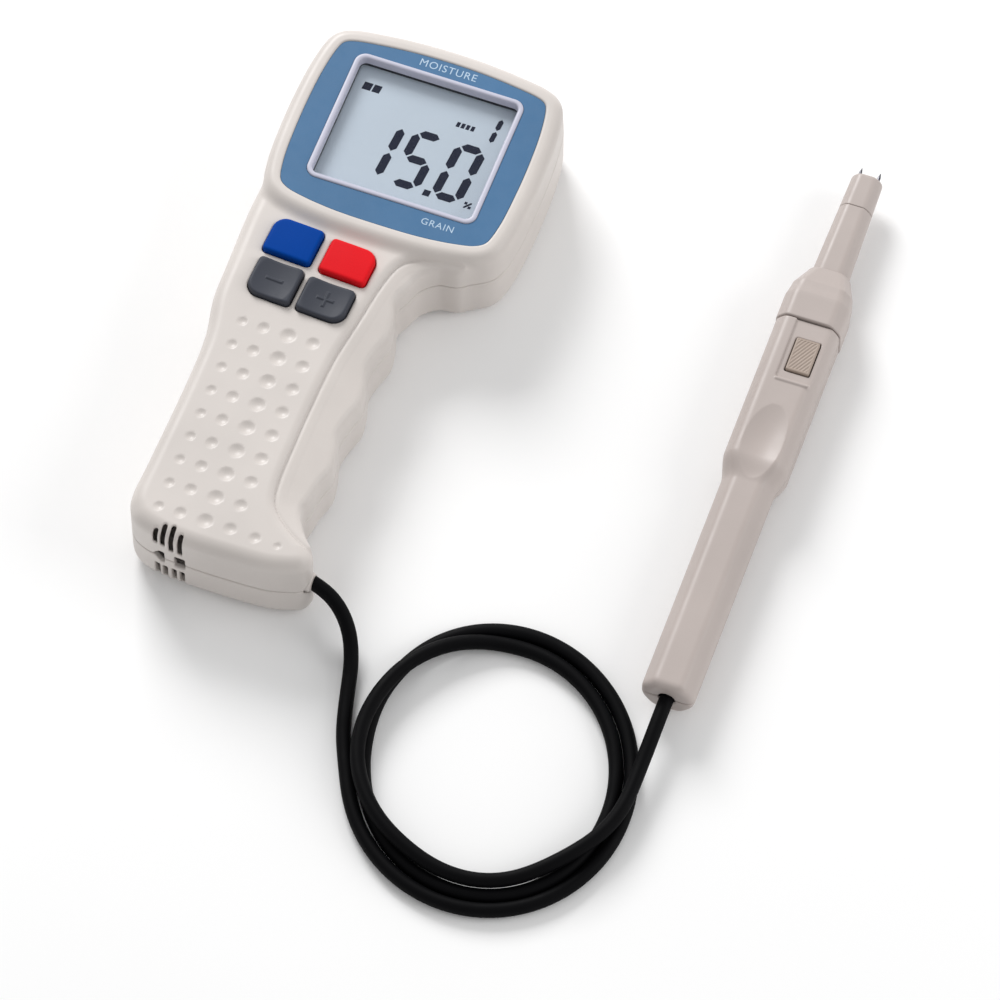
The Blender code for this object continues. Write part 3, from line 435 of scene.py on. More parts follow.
def add_net(name, field, axes, slot, shade_reach=0.2, **piece):
    """A visual piece that is the surface of a field."""
    add_piece(name, net_mesh(name, field, axes, shade_reach), slot, **piece)


def shaded(mesh):
    """The mesh with smooth faces and sharp creases."""
    mesh.shade_smooth()
    mesh.set_sharp_from_angle(angle=math.radians(35))
    return mesh


def bmesh_mesh(name, shape):
    bmesh.ops.recalc_face_normals(shape, faces=shape.faces)
    bmesh.ops.scale(shape, vec=(MM, MM, MM), verts=shape.verts)
    mesh = bpy.data.meshes.new(name)
    shape.to_mesh(mesh)
    shape.free()
    return shaded(mesh)


def join_rings(shape, rings):
    """Faces between neighbouring rings of vertices, and from the last ring to the first."""
    count = len(rings[0])
    for ring, after in zip(rings, rings[1:] + rings[:1]):
        for i in range(count):
            j = (i + 1) % count
            shape.faces.new((ring[i], ring[j], after[j], after[i]))


def ring_outline(half, radius, steps=10):
    """Corner arcs of a rounded rectangle, anticlockwise from the lower left corner."""
    outline = []
    for i, (sx, sy) in enumerate(((-1, -1), (1, -1), (1, 1), (-1, 1))):
        centre = (sx * (half[0] - radius), sy * (half[1] - radius))
        for k in range(steps + 1):
            angle = math.pi + (i + k / steps) * math.pi / 2
            outline.append(
                (centre[0] + radius * math.cos(angle), centre[1] + radius * math.sin(angle))
            )
    return np.array(outline)


def swept_frame(name, inner, outer, profile):
    """A closed frame: profile points are (share of the way from inner to outer outline, z)."""
    shape = bmesh.new()
    rings = []
    for share, z in profile:
        outline = inner + (outer - inner) * share
        rings.append([shape.verts.new((x, y, z)) for x, y in outline])
    join_rings(shape, rings)
    return bmesh_mesh(name, shape)


def lathe(name, profile, axis_matrix, steps=48):
    """A closed profile of (radius, height) points turned round the matrix's Z axis."""
    shape = bmesh.new()
    rings = []
    for radius, height in profile:
        ring = []
        for k in range(steps):
            angle = 2 * math.pi * k / steps
            point = Vector((radius * math.cos(angle), radius * math.sin(angle), height))
            ring.append(shape.verts.new(axis_matrix @ point))
        rings.append(ring)
    join_rings(shape, rings)
    bmesh.ops.remove_doubles(shape, verts=shape.verts, dist=1e-4)
    return bmesh_mesh(name, shape)


def add_line(curve, points):
    """A straight-sided spline through points in millimetres."""
    spline = curve.splines.new("POLY")
    spline.points.add(len(points) - 1)
    for target, (x, y, z) in zip(spline.points, points):
        target.co = (x * MM, y * MM, z * MM, 1)
    return spline


def curve_mesh(curve, x, y, z):
    """The mesh of a curve, moved to a place in millimetres."""
    holder = bpy.data.objects.new(curve.name, curve)
    mesh = bpy.data.meshes.new_from_object(holder)
    bpy.data.objects.remove(holder)
    mesh.transform(Matrix.Translation((x * MM, y * MM, z * MM)))
    return mesh


def flat_piece_mesh(name, outlines, low_z, high_z, edge=0.06):
    """A plate with holes: filled outlines between two levels, with a small rounded edge."""
    curve = bpy.data.curves.new(name, "CURVE")
    curve.dimensions = "2D"
    curve.fill_mode = "BOTH"
    curve.extrude = ((high_z - low_z) / 2 - edge) * MM
    curve.bevel_depth = edge * MM
    curve.bevel_resolution = 2
    curve.offset = -edge * MM
    for outline in outlines:
        add_line(curve, [(x, y, 0) for x, y in outline]).use_cyclic_u = True
    return shaded(curve_mesh(curve, 0, 0, (low_z + high_z) / 2))


# Materials


class Look:
    """A Principled material built up from object-space textures."""

    def __init__(self, name):
        self.material = bpy.data.materials.new(name)
        self.material.use_nodes = True
        self.tree = self.material.node_tree
        self.shader = self.tree.nodes["Principled BSDF"]
        self.coords = self.tree.nodes.new("ShaderNodeTexCoord").outputs["Object"]

    def node(self, kind, **inputs):
        made = self.tree.nodes.new(kind)
        for key, value in inputs.items():
            self.put(made.inputs[key.replace("_", " ")], value)
        return made

    def put(self, socket, value):
        if isinstance(value, bpy.types.NodeSocket):
            self.tree.links.new(value, socket)
        else:
            socket.default_value = value

    def noise(self, scale, detail=3.0, stretch=None):
        coords = self.coords
        if stretch:
            mapping = self.node("ShaderNodeMapping", Vector=coords, Scale=stretch)
            coords = mapping.outputs["Vector"]
        made = self.node("ShaderNodeTexNoise", Vector=coords, Scale=scale, Detail=detail)
        return made.outputs["Fac"]

    def ramp(self, value, low, high):
        """The value's middle band, 0.3 to 0.7, mapped to a range of numbers."""
        made = self.node("ShaderNodeMapRange", Value=value)
        for key, number in (("From Min", 0.3), ("From Max", 0.7), ("To Min", low), ("To Max", high)):
            made.inputs[key].default_value = number
        return made.outputs["Result"]

    def blend(self, share, first, second):
        made = self.tree.nodes.new("ShaderNodeMix")
        made.data_type = "RGBA"
        self.put(made.inputs["Factor"], share)
        self.put(made.inputs[6], first)
        self.put(made.inputs[7], second)
        return made.outputs[2]

    def mottled(self, rgb, cloud, tints, fleck, fleck_share, fleck_tint):
        """Cloudy colour between two tints of rgb, with finer flecks of a third."""
        first, second = [linear(rgb, tint) for tint in tints]
        colour = self.blend(self.ramp(cloud, 0.0, 1.0), first, second)
        return self.blend(self.ramp(fleck, 0.0, fleck_share), colour, linear(rgb, fleck_tint))

    def bump(self, height, distance_mm, strength=1.0, normal=None):
        made = self.node("ShaderNodeBump", Height=height, Strength=strength)
        made.inputs["Distance"].default_value = distance_mm * MM
        if normal is not None:
            self.tree.links.new(normal, made.inputs["Normal"])
        return made.outputs["Normal"]

    def set(self, **inputs):
        for key, value in inputs.items():
            self.put(self.shader.inputs[key.replace("_", " ")], value)
        return self


def linear(rgb, tint=1.0):
    """Linear colour of a screen colour, made lighter or darker by a factor."""
    values = [byte * tint / 255 for byte in rgb]
    return (*[v / 12.92 if v <= 0.04045 else ((v + 0.055) / 1.055) ** 2.4 for v in values], 1.0)


def moulded(name, rgb, roughness, mottle=0.03, speckle=0.02, grain_mm=0.35, depth_mm=0.006):
    """Moulded plastic: cloudy colour, a fine satin grain and slightly uneven gloss."""
    look = Look(name)
    tints = (1 - mottle, 1 + mottle / 3)
    cloud, fleck = look.noise(28.0, 4.0), look.noise(1900.0, 2.0)
    grain = look.noise(1 / (grain_mm * MM), 2.0)
    normal = look.bump(look.noise(70.0, 2.0), 0.05, 0.35)
    look.set(
        Base_Color=look.mottled(rgb, cloud, tints, fleck, speckle, 0.55),
        Roughness=look.ramp(look.noise(160.0, 4.0), roughness - 0.04, roughness + 0.05),
        Normal=look.bump(grain, depth_mm, 1.0, normal),
    )
    return look


def rubber(name, rgb, roughness=0.62, gloss=0.15):
    look = moulded(name, rgb, roughness, 0.05, 0.08, 0.22, 0.012)
    look.set(Specular_IOR_Level=gloss)
    return look


def metal(name, rgb, roughness):
    """Bare metal with fine streaks along it."""
    look = Look(name)
    streaks = look.noise(900.0, 3.0, stretch=(1.0, 0.06, 1.0))
    colour = look.blend(look.ramp(streaks, 0.0, 1.0), linear(rgb), linear(rgb, 0.82))
    look.set(
        Base_Color=colour,
        Metallic=1.0,
        Roughness=look.ramp(streaks, roughness - 0.05, roughness + 0.1),
        Normal=look.bump(streaks, 0.004),
    )
    return look


def film(name, rgb):
    """Printed film under a satin coat."""
    look = Look(name)
    cloud, screen = look.noise(22.0, 3.0), look.noise(2600.0, 1.0)
    look.set(
        Base_Color=look.mottled(rgb, cloud, (1.0, 1.07), screen, 0.06, 0.7),
        Roughness=look.ramp(look.noise(300.0, 3.0), 0.32, 0.42),
        Normal=look.bump(look.noise(2200.0, 2.0), 0.004),
        Specular_IOR_Level=0.3,
        Coat_Weight=0.1,
        Coat_Roughness=0.25,
    )
    return look


def liquid_crystal(name, rgb):
    """Display glass: a faint pixel weave over a slightly uneven grey."""
    look = Look(name)
    weave = look.node("ShaderNodeTexWave", Vector=look.coords, Scale=900.0).outputs["Fac"]
    look.set(
        Base_Color=look.mottled(rgb, look.noise(18.0, 2.0), (1.0, 0.965), weave, 0.05, 0.8),
        Roughness=look.ramp(look.noise(500.0), 0.3, 0.4),
        Normal=look.bump(look.noise(1500.0), 0.003),
    )
    return look


def lens(name):
    """A clear pane that passes light straight through and mirrors a little of it."""
    look = Look(name)
    tree = look.tree
    clear = look.node("ShaderNodeBsdfTransparent")
    gloss = look.node("ShaderNodeBsdfGlossy")
    look.put(gloss.inputs["Roughness"], look.ramp(look.noise(120.0, 3.0), 0.04, 0.1))
    facing = look.node("ShaderNodeLayerWeight", Blend=0.06, Normal=look.bump(look.noise(60.0), 0.02))
    mixed = tree.nodes.new("ShaderNodeMixShader")
    tree.links.new(facing.outputs["Facing"], mixed.inputs[0])
    tree.links.new(clear.outputs[0], mixed.inputs[1])
    tree.links.new(gloss.outputs[0], mixed.inputs[2])
    tree.links.new(mixed.outputs[0], tree.nodes["Material Output"].inputs["Surface"])
    return look


def circuit_board(name):
    """Green board with paler cells."""
    look = Look(name)
    cells = look.node("ShaderNodeTexVoronoi", Vector=look.coords, Scale=420.0)
    traces = look.ramp(cells.outputs["Distance"], 0.0, 1.0)
    colour = look.blend(traces, linear((14, 70, 40)), linear((34, 104, 62)))
    look.set(Base_Color=colour, Roughness=look.ramp(look.noise(300.0), 0.35, 0.5))
    look.set(Normal=look.bump(traces, 0.03))
    return look


def battery_wrap(name):
    """Printed metal foil round a dry cell."""
    look = Look(name)
    band = look.node("ShaderNodeTexGradient", Vector=look.coords)
    fleck = look.ramp(look.noise(1200.0), 0.0, 0.2)
    colour = look.blend(fleck, linear((58, 62, 72)), linear((96, 100, 110)))
    colour = look.blend(look.ramp(band.outputs["Fac"], 0.0, 0.15), colour, linear((150, 112, 60)))
    look.set(Base_Color=colour, Metallic=0.4, Roughness=look.ramp(look.noise(90.0), 0.3, 0.42))
    return look


# What each slot wears: the kind of look and its values.
LOOKS = {
    "case": (moulded, (210, 203, 198), 0.42),
    "panel": (film, (64, 107, 146)),
    "bezel": (moulded, (192, 192, 208), 0.36, 0.02),
    # The holder's near-black is partly its own dark plastic and partly painted shade for the deep
    # well under the display's bezel.
    "holder": (moulded, (36, 38, 46), 0.55),
    "window": (lens,),
    "lcd": (liquid_crystal, (186, 199, 212)),
    "zebra": (rubber, (60, 60, 64)),
    "board": (circuit_board,),
    "blue_key": (rubber, (0, 64, 152), 0.55, 0.05),
    "red_key": (rubber, (228, 24, 34), 0.55, 0.08),
    "grey_key": (rubber, (64, 67, 76), 0.5, 0.2),
    "switch": (moulded, (28, 28, 30), 0.5),
    "steel": (metal, (190, 190, 194), 0.3),
    "cell": (battery_wrap,),
    "box": (moulded, (52, 54, 58), 0.5),
    "cord": (rubber, (4, 4, 6), 0.6, 0.08),
    "probe": (moulded, (184, 173, 168), 0.42),
    "button": (moulded, (166, 150, 138), 0.5),
    "needle": (metal, (104, 104, 110), 0.28),
    "brass": (metal, (196, 160, 88), 0.3),
    "ink": (rubber, (24, 31, 52), 0.7, 0.05),
    "print": (moulded, (176, 200, 222), 0.5),
}
MATERIALS = {name: make(name, *values).material for name, (make, *values) in LOOKS.items()}


# Camera, light and floor, in metres

LIT_POINT = (0.05, -0.09, 0.0)
SKY_STRENGTH = 0.56


def place_in_studio(name, data, position, direction):
    """A camera or a light that looks along a direction."""
    obj = bpy.data.objects.new(name, data)
    obj.location = position
    obj.rotation_mode = "QUATERNION"
    obj.rotation_quaternion = direction.to_track_quat("-Z", "Y")
    bpy.context.scene.collection.objects.link(obj)
    return obj


def add_camera():
    elevation, azimuth, distance = math.radians(60.0), math.radians(20.3), 2.392
    aim = Vector((0.06314044, -0.09506833, 0.0))
    level = math.cos(elevation)
    back = Vector((math.sin(azimuth) * level, -math.cos(azimuth) * level, math.sin(elevation)))
    data = bpy.data.cameras.new("camera")
    data.lens, data.sensor_width = 280.8, 36.0
    data.clip_start, data.clip_end = 0.05, 30.0
    bpy.context.scene.camera = place_in_studio("camera", data, aim + back * distance, -back)


def add_light(name, position, side, watts):
    """A square light that faces the middle of the object."""
    data = bpy.data.lights.new(name, "AREA")
    data.shape = "RECTANGLE"
    data.size = data.size_y = side
    data.energy = watts
    place_in_studio(name, data, position, Vector(LIT_POINT) - Vector(position))


def add_world():
    world = bpy.data.worlds.new("studio")
    world.use_nodes = True
    background = world.node_tree.nodes["Background"]
    background.inputs["Color"].default_value = (1.0, 1.0, 1.0, 1.0)
    background.inputs["Strength"].default_value = SKY_STRENGTH
    bpy.context.scene.world = world


def add_floor():
    shape = bmesh.new()
    bmesh.ops.create_grid(shape, x_segments=1, y_segments=1, size=4.0)
    mesh = bpy.data.meshes.new("floor")
    shape.to_mesh(mesh)
    shape.free()
    look = Look("floor")
    paper = look.ramp(look.noise(6.0, 2.0), 0.0, 1.0)
    look.set(
        Base_Color=look.blend(paper, (0.97, 0.97, 0.97, 1.0), (0.955, 0.955, 0.955, 1.0)),
        Roughness=0.9,
        Specular_IOR_Level=0.1,
    )
    mesh.materials.append(look.material)
    floor = bpy.data.objects.new("floor", mesh)
    VISUAL.objects.link(floor)


def add_studio():
    add_world()
    add_light("key", (-1.1, 1.35, 1.25), 0.9, 37.0)
    add_light("fill", (1.8, 0.25, 0.95), 1.2, 12.0)
    bpy.context.scene.view_settings.view_transform = "Standard"


# Cord


def coil_point(angle, offset):
    """Point of the coil, from the angle run round it in degrees and the distance inwards."""
    turn = math.radians(angle)
    u = (COIL_HALF[0] + offset) * math.cos(turn)
    v = (COIL_HALF[1] + offset) * math.sin(turn)
    c, s = math.cos(COIL_TURN), math.sin(COIL_TURN)
    return COIL_CENTRE[0] + u * c - v * s, COIL_CENTRE[1] + u * s + v * c


def coil_offset(angles):
    """Smooth offset at each angle, from COIL_OFFSETS."""
    known = np.array(COIL_OFFSETS, float)
    fine = smooth_line(known, 16)
    return np.interp(angles, fine[:, 0], fine[:, 1])


def coil_heights(angles, offsets):
    """Height of the strand's centre: on the floor, or resting on the turns that it passes over."""
    heights = np.full(len(angles), FLOOR_LINE)
    for earlier in (360.0, 720.0):
        below = coil_offset(angles - earlier)
        exists = angles - earlier >= COIL_OFFSETS[0][0]
        apart = np.where(exists & (angles > 800), offsets - below, 99.0)
        lift = np.sqrt(np.maximum(CORD_GAP**2 - apart**2, 0))
        heights = np.maximum(heights, FLOOR_LINE + lift)
    for gather in (np.max, np.mean, np.mean):
        padded = np.pad(heights, HUMP_REACH, mode="edge")
        shifts = range(2 * HUMP_REACH + 1)
        heights = gather([padded[k : k + len(heights)] for k in shifts], axis=0)
    return heights


def evenly_spaced(points, count):
    """That many points at equal steps along a line, and the line's length."""
    run = np.concatenate([[0], np.cumsum(np.linalg.norm(np.diff(points, axis=0), axis=1))])
    stations = np.linspace(0, run[-1], count)
    return np.column_stack([np.interp(stations, run, points[:, axis]) for axis in range(3)]), run[-1]


def cord_points():
    """Points along the cord's centre, from inside the bush to inside the probe, and its length."""
    angles = np.arange(COIL_OFFSETS[0][0], COIL_OFFSETS[-1][0] + 0.5, 1.0)
    offsets = coil_offset(angles)
    heights = coil_heights(angles, offsets)
    coil = [(*coil_point(a, o), z) for a, o, z in zip(angles, offsets, heights)]
    route = [*METER_ROUTE, *coil[::ROUTE_STEP], *PROBE_ROUTE]
    line, _ = evenly_spaced(smooth_line(route, 24), CORD_SAMPLES)
    for _ in range(CORD_EASE):
        line[4:-4] = (line[3:-5] + 2 * line[4:-4] + line[5:-3]) / 4
    return evenly_spaced(line, CORD_SAMPLES)


def add_cord():
    points, length = cord_points()
    curve = bpy.data.curves.new("coiled_cord", "CURVE")
    curve.dimensions = "3D"
    add_line(curve, points).use_smooth = True
    curve.bevel_depth = CORD_DIAMETER / 2 * MM
    curve.bevel_resolution = 6
    curve.use_fill_caps = True
    curve.materials.append(MATERIALS["cord"])
    cord = bpy.data.objects.new("coiled_cord", curve)
    VISUAL.objects.link(cord)
    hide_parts("cord_lead_meter", "cord_coil", "cord_lead_probe")
    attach(cord, "meter_and_probe")


# Meter case


class Plan:
    """Distance inwards from a closed outline, with any value that the outline carries, on a grid."""

    def __init__(self, outline, step=0.5, margin=8.0):
        self.step = step
        self.low = outline[:, :2].min(axis=0) - margin
        high = outline[:, :2].max(axis=0) + margin
        self.shape = tuple(np.ceil((high - self.low) / step).astype(int) + 2)
        grid = np.indices(self.shape).reshape(2, -1) * step + self.low[:, None]
        best = np.full(grid.shape[1], 1e9)
        carried = np.zeros(grid.shape[1])
        inside = np.zeros(grid.shape[1], bool)
        for a, b in zip(outline, np.roll(outline, -1, axis=0)):
            edge = b[:2] - a[:2]
            share = (edge @ (grid - a[:2, None])) / (edge @ edge)
            share = np.clip(share, 0, 1)
            gap = grid - a[:2, None] - edge[:, None] * share
            square = (gap**2).sum(axis=0)
            nearer = square < best
            best[nearer] = square[nearer]
            if outline.shape[1] > 2:
                carried[nearer] = (a[2] + (b[2] - a[2]) * share)[nearer]
            if (a[1] > b[1]) != (a[1] < b[1]):
                rows = (grid[1] >= a[1]) != (grid[1] >= b[1])
                at = a[0] + (grid[1] - a[1]) / (b[1] - a[1]) * (b[0] - a[0])
                inside ^= rows & (grid[0] < at)
        distance = np.sqrt(best)
        self.tables = [np.where(inside, distance, -distance).reshape(self.shape)]
        self.tables.append(self.blurred(carried.reshape(self.shape), 4))
        self.seen = (None, None, None)

    @staticmethod
    def blurred(table, times):
        for _ in range(times):
            for axis in (0, 1):
                table = (np.roll(table, 1, axis) + 2 * table + np.roll(table, -1, axis)) / 4
        return table

    def at(self, x, y):
        """(distance inwards, carried value) at points, by bicubic interpolation."""
        if self.seen[0] is x and self.seen[1] is y:
            return self.seen[2]
        place = [(x - self.low[0]) / self.step, (y - self.low[1]) / self.step]
        cell, weights = [], []
        for axis in (0, 1):
            p = np.clip(place[axis], 1, self.shape[axis] - 2.001)
            i = p.astype(int)
            t = p - i
            cell.append(i)
            weights.append(
                (
                    (-(t**3) + 2 * t**2 - t) / 2,
                    (3 * t**3 - 5 * t**2 + 2) / 2,
                    (-3 * t**3 + 4 * t**2 + t) / 2,
                    (t**3 - t**2) / 2,
                )
            )
        found = [0.0, 0.0]
        for i in range(4):
            for j in range(4):
                weight = weights[0][i] * weights[1][j]
                column = np.minimum(cell[0] + i - 1, self.shape[0] - 1)
                row = np.minimum(cell[1] + j - 1, self.shape[1] - 1)
                for k, table in enumerate(self.tables):
                    found[k] = found[k] + weight * table[column, row]
        self.seen = (x, y, tuple(found))
        return self.seen[2]


def scallop_x(y):
    phase = 2 * math.pi * (y - SCALLOP_CREST_Y) / SCALLOP_PITCH
    return SCALLOP_MID_X + SCALLOP_DEPTH * math.cos(phase)


def ridge_x(y):
    """The line where the flat front face ends and the finger side begins."""
    return 3.2 + (0.0025 if y > -100 else 0.0018) * (y + 100) ** 2


def head_outline(samples=12):
    left = [(-x, y) for x, y in HEAD_HALF[-2:0:-1]]
    return smooth_loop(list(HEAD_HALF) + left, samples)


def grip_outline(samples=10):
    fingers = [
        (scallop_x(y), y, scallop_x(y) - ridge_x(y)) for y in np.linspace(-129.0, -54.0, 13)
    ]
    return smooth_loop([*GRIP_LOWER_RIGHT, *fingers, *GRIP_UPPER_LEFT], samples)


def face_outline():
    """Outline of the grip's raised face: the crease on its right, far away on its other sides."""
    return np.vstack([smooth_line(CREASE, 6), FAR_CORNERS])


HEAD, GRIP, FACE = Plan(head_outline()), Plan(grip_outline()), Plan(face_outline())


def parting_z(y):
    """Level of the line between the two shells, lower towards the foot."""
    return PARTING_Z + PARTING_RISE * (y - PARTING_MID_Y)


def dimples(x, y):
    """Depth of the grip's dimples at each point."""
    depth = np.zeros_like(x)
    row = np.clip(np.round((DIMPLE_ROW_Y - y) / DIMPLE_PITCH), 0, DIMPLE_ROWS - 1)
    spots = [(cx, DIMPLE_ROW_Y - DIMPLE_PITCH * row, size) for cx, size in DIMPLE_COLUMNS]
    for cx, cy, size in [*spots, *LONE_DIMPLES]:
        reach = np.clip(1 - ((x - cx) ** 2 + (y - cy) ** 2) / (size / 2) ** 2, 0, 1)
        depth = np.maximum(depth, DIMPLE_DEPTH * size * reach**DIMPLE_EASE)
    return depth


def head_body(x, y, z, wall=0.0):
    inward = HEAD.at(x, y)[0] - wall
    top = SEAT_Z - 2.0 if wall else RIM_Z
    lean = 0.4 * np.clip((z - parting_z(y)) / 10.4, 0, 1)
    front = rounded_edge(inward - lean, top - z, 3.4, 3.6)
    back = rounded_edge(inward, z - wall, BACK_INSET, BACK_RADIUS_Z - wall)
    return np.maximum(front, back)


def grip_body(x, y, z, wall=0.0):
    """The grip: a flat face with a rolled rim, and a sloping shoulder along its finger side."""
    inward, inset = GRIP.at(x, y)
    inward = inward - wall
    beside = -FACE.at(x, y)[0]
    level = GRIP_FACE_Z - wall - (0 if wall else dimples(x, y))
    fingers = smooth_step(beside, 0.0, 4.0)
    side = mix(np.clip(inset, 4.5, 5.5), 2.0, fingers)
    edge = rounded_edge(inward, level + 3.0 * fingers - z, side, side * 0.92)
    rim = rounded_edge(-beside, level - z, *RIM_ROLL)
    groove = CREASE_DEPTH * np.exp(-((beside / CREASE_WIDTH) ** 2))
    slope = z - (FINGER_Z - wall - FINGER_SLOPE * np.maximum(beside, 0) - groove)
    upper = smooth_min(rim, slope, 0.12)
    front = smooth_max(edge, upper, mix(0.05, SHOULDER, smooth_step(beside, 0.5, 4.0)))
    back = rounded_edge(inward, z - wall, BACK_INSET, BACK_RADIUS_Z - wall)
    return np.maximum(front, back)


def case_body(x, y, z, wall=0.0):
    joined = smooth_min(head_body(x, y, z, wall), grip_body(x, y, z, wall), 2.4)
    return np.maximum(joined, wall - z)


def cord_hole(x, y, z):
    reach = np.hypot(y - BUSH_CENTRE[0], z - BUSH_CENTRE[1]) - BUSH_RADIUS - 0.15
    return np.maximum(reach, 12 - x)


def key_field(key, x, y, grow):
    _, centre, size, large, _, _ = key
    radii = [SMALL_CORNER + grow] * 4
    radii[large] = LARGE_CORNER + grow
    half = (size[0] / 2 + grow, size[1] / 2 + grow)
    return rounded_box(x, y, centre, half, radii, KEY_TILT)


def front_vents(x, y, z):
    """Slots with round ends over the edge of the front case."""
    slots = 1e3
    for vent_x, top_y, low_z in FRONT_VENTS:
        slot = rounded_box(x, y, (vent_x, top_y - 5), (VENT_WIDTH / 2, 5), VENT_WIDTH / 2)
        slots = np.minimum(slots, smooth_max(slot, low_z - z, 0.5))
    return slots


def back_vents(x, y, z):
    """Slots low on the end wall, and above them the eyes; the first eye narrows to one side."""
    slots = 1e3
    for vent_x in BACK_VENT_X:
        slot = np.maximum(np.abs(x - vent_x) - VENT_WIDTH / 2, y - BACK_VENT_REACH_Y)
        slots = np.minimum(slots, smooth_max(slot, span(z, *BACK_VENT_Z), 0.5))
    for eye_x, width in STRAP_EYES:
        outline = smooth_max(np.abs(x - eye_x) - width / 2, span(z, *STRAP_EYE_Z), 0.8)
        if eye_x == STRAP_EYES[0][0]:
            outline = smooth_max(outline, 0.8 * (eye_x - x) + 0.6 * np.abs(z - 15.4) - 1.3, 0.5)
        slots = np.minimum(slots, np.maximum(outline, y - EYE_REACH_Y))
    return slots


def front_case(x, y, z):
    shape = smooth_max(case_body(x, y, z), parting_z(y) + HALF_GAP - z, 0.7)
    head_inward = HEAD.at(x, y)[0]
    seat = smooth_max(PANEL_INSET - head_inward, SEAT_Z - z, 0.3)
    shape = cut(shape, seat, 0.7)
    shape = np.maximum(shape, -case_body(x, y, z, WALL))
    shape = cut(shape, rounded_box(x, y, (0, 0), HOLE_HALF, 4.0), 0.4)
    for key in KEYS:
        shape = cut(shape, key_field(key, x, y, KEY_CLEARANCE), 0.45)
    corner = rounded_box(x, y, *VENT_CORNER, 1.0)
    shape = np.maximum(shape, -np.maximum(case_body(x, y, z, VENT_WALL), corner))
    shape = cut(shape, front_vents(x, y, z), 0.4)
    shape = cut(shape, back_vents(x, y, z), 0.4)
    return cut(shape, cord_hole(x, y, z), 0.5)


def back_case(x, y, z):
    shape = smooth_max(case_body(x, y, z), z - parting_z(y) + HALF_GAP, 0.7)
    shape = np.maximum(shape, -case_body(x, y, z, WALL))
    for screw_x, screw_y, _ in CASE_SCREWS:
        reach = np.hypot(x - screw_x, y - screw_y)
        sleeve = np.maximum(reach - SLEEVE_RADIUS, span(z, 2.0, parting_z(y) - 0.4))
        shape = np.minimum(shape, sleeve)
        shape = cut(shape, np.maximum(reach - HEAD_BORE, z - SCREW_HEAD_Z[1] - 0.3), 0.5)
        shape = np.maximum(shape, SHANK_BORE - reach)
    bay = np.maximum(range_box(x, y, BAY_X, BAY_Y, 0.8), z - 5)
    shape = cut(shape, bay, 0.4)
    ledge_x = (BAY_X[0] - 2, BAY_X[1] + 2)
    ledge = np.maximum(range_box(x, y, ledge_x, LEDGE_Y, 0.5), span(z, *LEDGE_Z))
    shape = np.minimum(shape, ledge)
    shape = cut(shape, back_vents(x, y, z), 0.5)
    return cut(shape, cord_hole(x, y, z), 0.5)


def add_case():
    fine_x = (-26.5, -15.5, 0.33)
    front_axes = (
        axis_steps(-43.5, 43.5, 0.68, [fine_x]),
        axis_steps(-159.6, 37.0, 0.68, [(-159, -152.5, 0.4)]),
        axis_steps(13.6, 33.4, 0.8, [(13.6, 21.6, 0.27), (24.0, 33.4, 0.36)]),
    )
    add_net("shell_front", front_case, front_axes, "case", replaces=["front_case"])
    back_axes = (
        axis_steps(-43.5, 43.5, 0.95, [fine_x]),
        axis_steps(-159.6, 37.0, 0.95, [(-133.5, -126.5, 0.5)]),
        axis_steps(-1.0, 21.6, 0.8, [(-1, 4.5, 0.4), (13.6, 21.6, 0.27)]),
    )
    add_net("shell_back", back_case, back_axes, "case", replaces=["back_case"])


def add_battery_door():
    """The sliding cover, with grooves for a thumb near the end that it slides towards."""
    x_range = (BAY_X[0] + 0.3, BAY_X[1] - 0.3)
    y_range = (BAY_Y[1] - COVER_LENGTH, BAY_Y[1] - 0.3)
    first_groove = y_range[0] + 4.5

    def door(x, y, z):
        plate = smooth_max(range_box(x, y, x_range, y_range, 0.8), span(z, *COVER_Z), 0.6)
        phase = (y - first_groove) / GROOVE_PITCH
        groove_y = np.abs(phase - np.clip(np.round(phase), 0, 4)) * GROOVE_PITCH - 0.5
        groove = smooth_max(groove_y, np.abs(x + 10) - 10, 0.5)
        return cut(plate, np.maximum(groove, z - COVER_Z[0] - 0.5), 0.4)

    axes = (
        axis_steps(x_range[0] - 0.8, x_range[1] + 0.8, 0.6),
        axis_steps(
            y_range[0] - 0.8, y_range[1] + 0.8, 0.6, [(y_range[0] + 2, y_range[0] + 16, 0.25)]
        ),
        axis_steps(-0.5, 2.4, 0.2),
    )
    add_net("battery_door", door, axes, "case", body="battery_cover", replaces=["battery_cover"])


def add_collar():
    """The bush that the cord leaves the meter through."""
    y, z = BUSH_CENTRE
    inner = CORD_DIAMETER / 2 + 0.12
    profile = [
        (inner, 0), (BUSH_RADIUS, 0), (BUSH_RADIUS, 7.6), (BUSH_RADIUS - 0.12, 8.3),
        (BUSH_RADIUS - 0.45, 8.85), (BUSH_RADIUS - 0.9, 9.2), (inner + 0.3, 9.2),
        (inner + 0.08, 9.1), (inner, 8.8),
    ]
    place = Matrix.Translation((BUSH_X[0], y, z)) @ Matrix.Rotation(math.pi / 2, 4, "Y")
    mesh = lathe("cord_collar", profile, place)
    add_piece("cord_collar", mesh, "case", replaces=["cord_bush"])


def screw_field(radius, shank, tip_z, head_z):
    """A pan head with a cross recess on its lower side and a threaded shank, standing on Z."""

    def field(x, y, z):
        reach = np.hypot(x, y)
        head = smooth_max(reach - radius, span(z, *head_z), 0.5)
        thread = THREAD_DEPTH * np.sin(2 * math.pi * z / THREAD_PITCH + np.arctan2(y, x))
        body = smooth_max(reach - shank - thread, span(z, head_z[1] - 0.5, tip_z), 0.4)
        cross = np.minimum(
            np.maximum(np.abs(x) - CROSS_HALF, np.abs(y) - 0.55 * radius),
            np.maximum(np.abs(y) - CROSS_HALF, np.abs(x) - 0.55 * radius),
        )
        recess = np.maximum(cross + 0.2 * (z - head_z[0]), z - head_z[0] - 1.2)
        return cut(np.minimum(head, body), recess, 0.2)

    return field


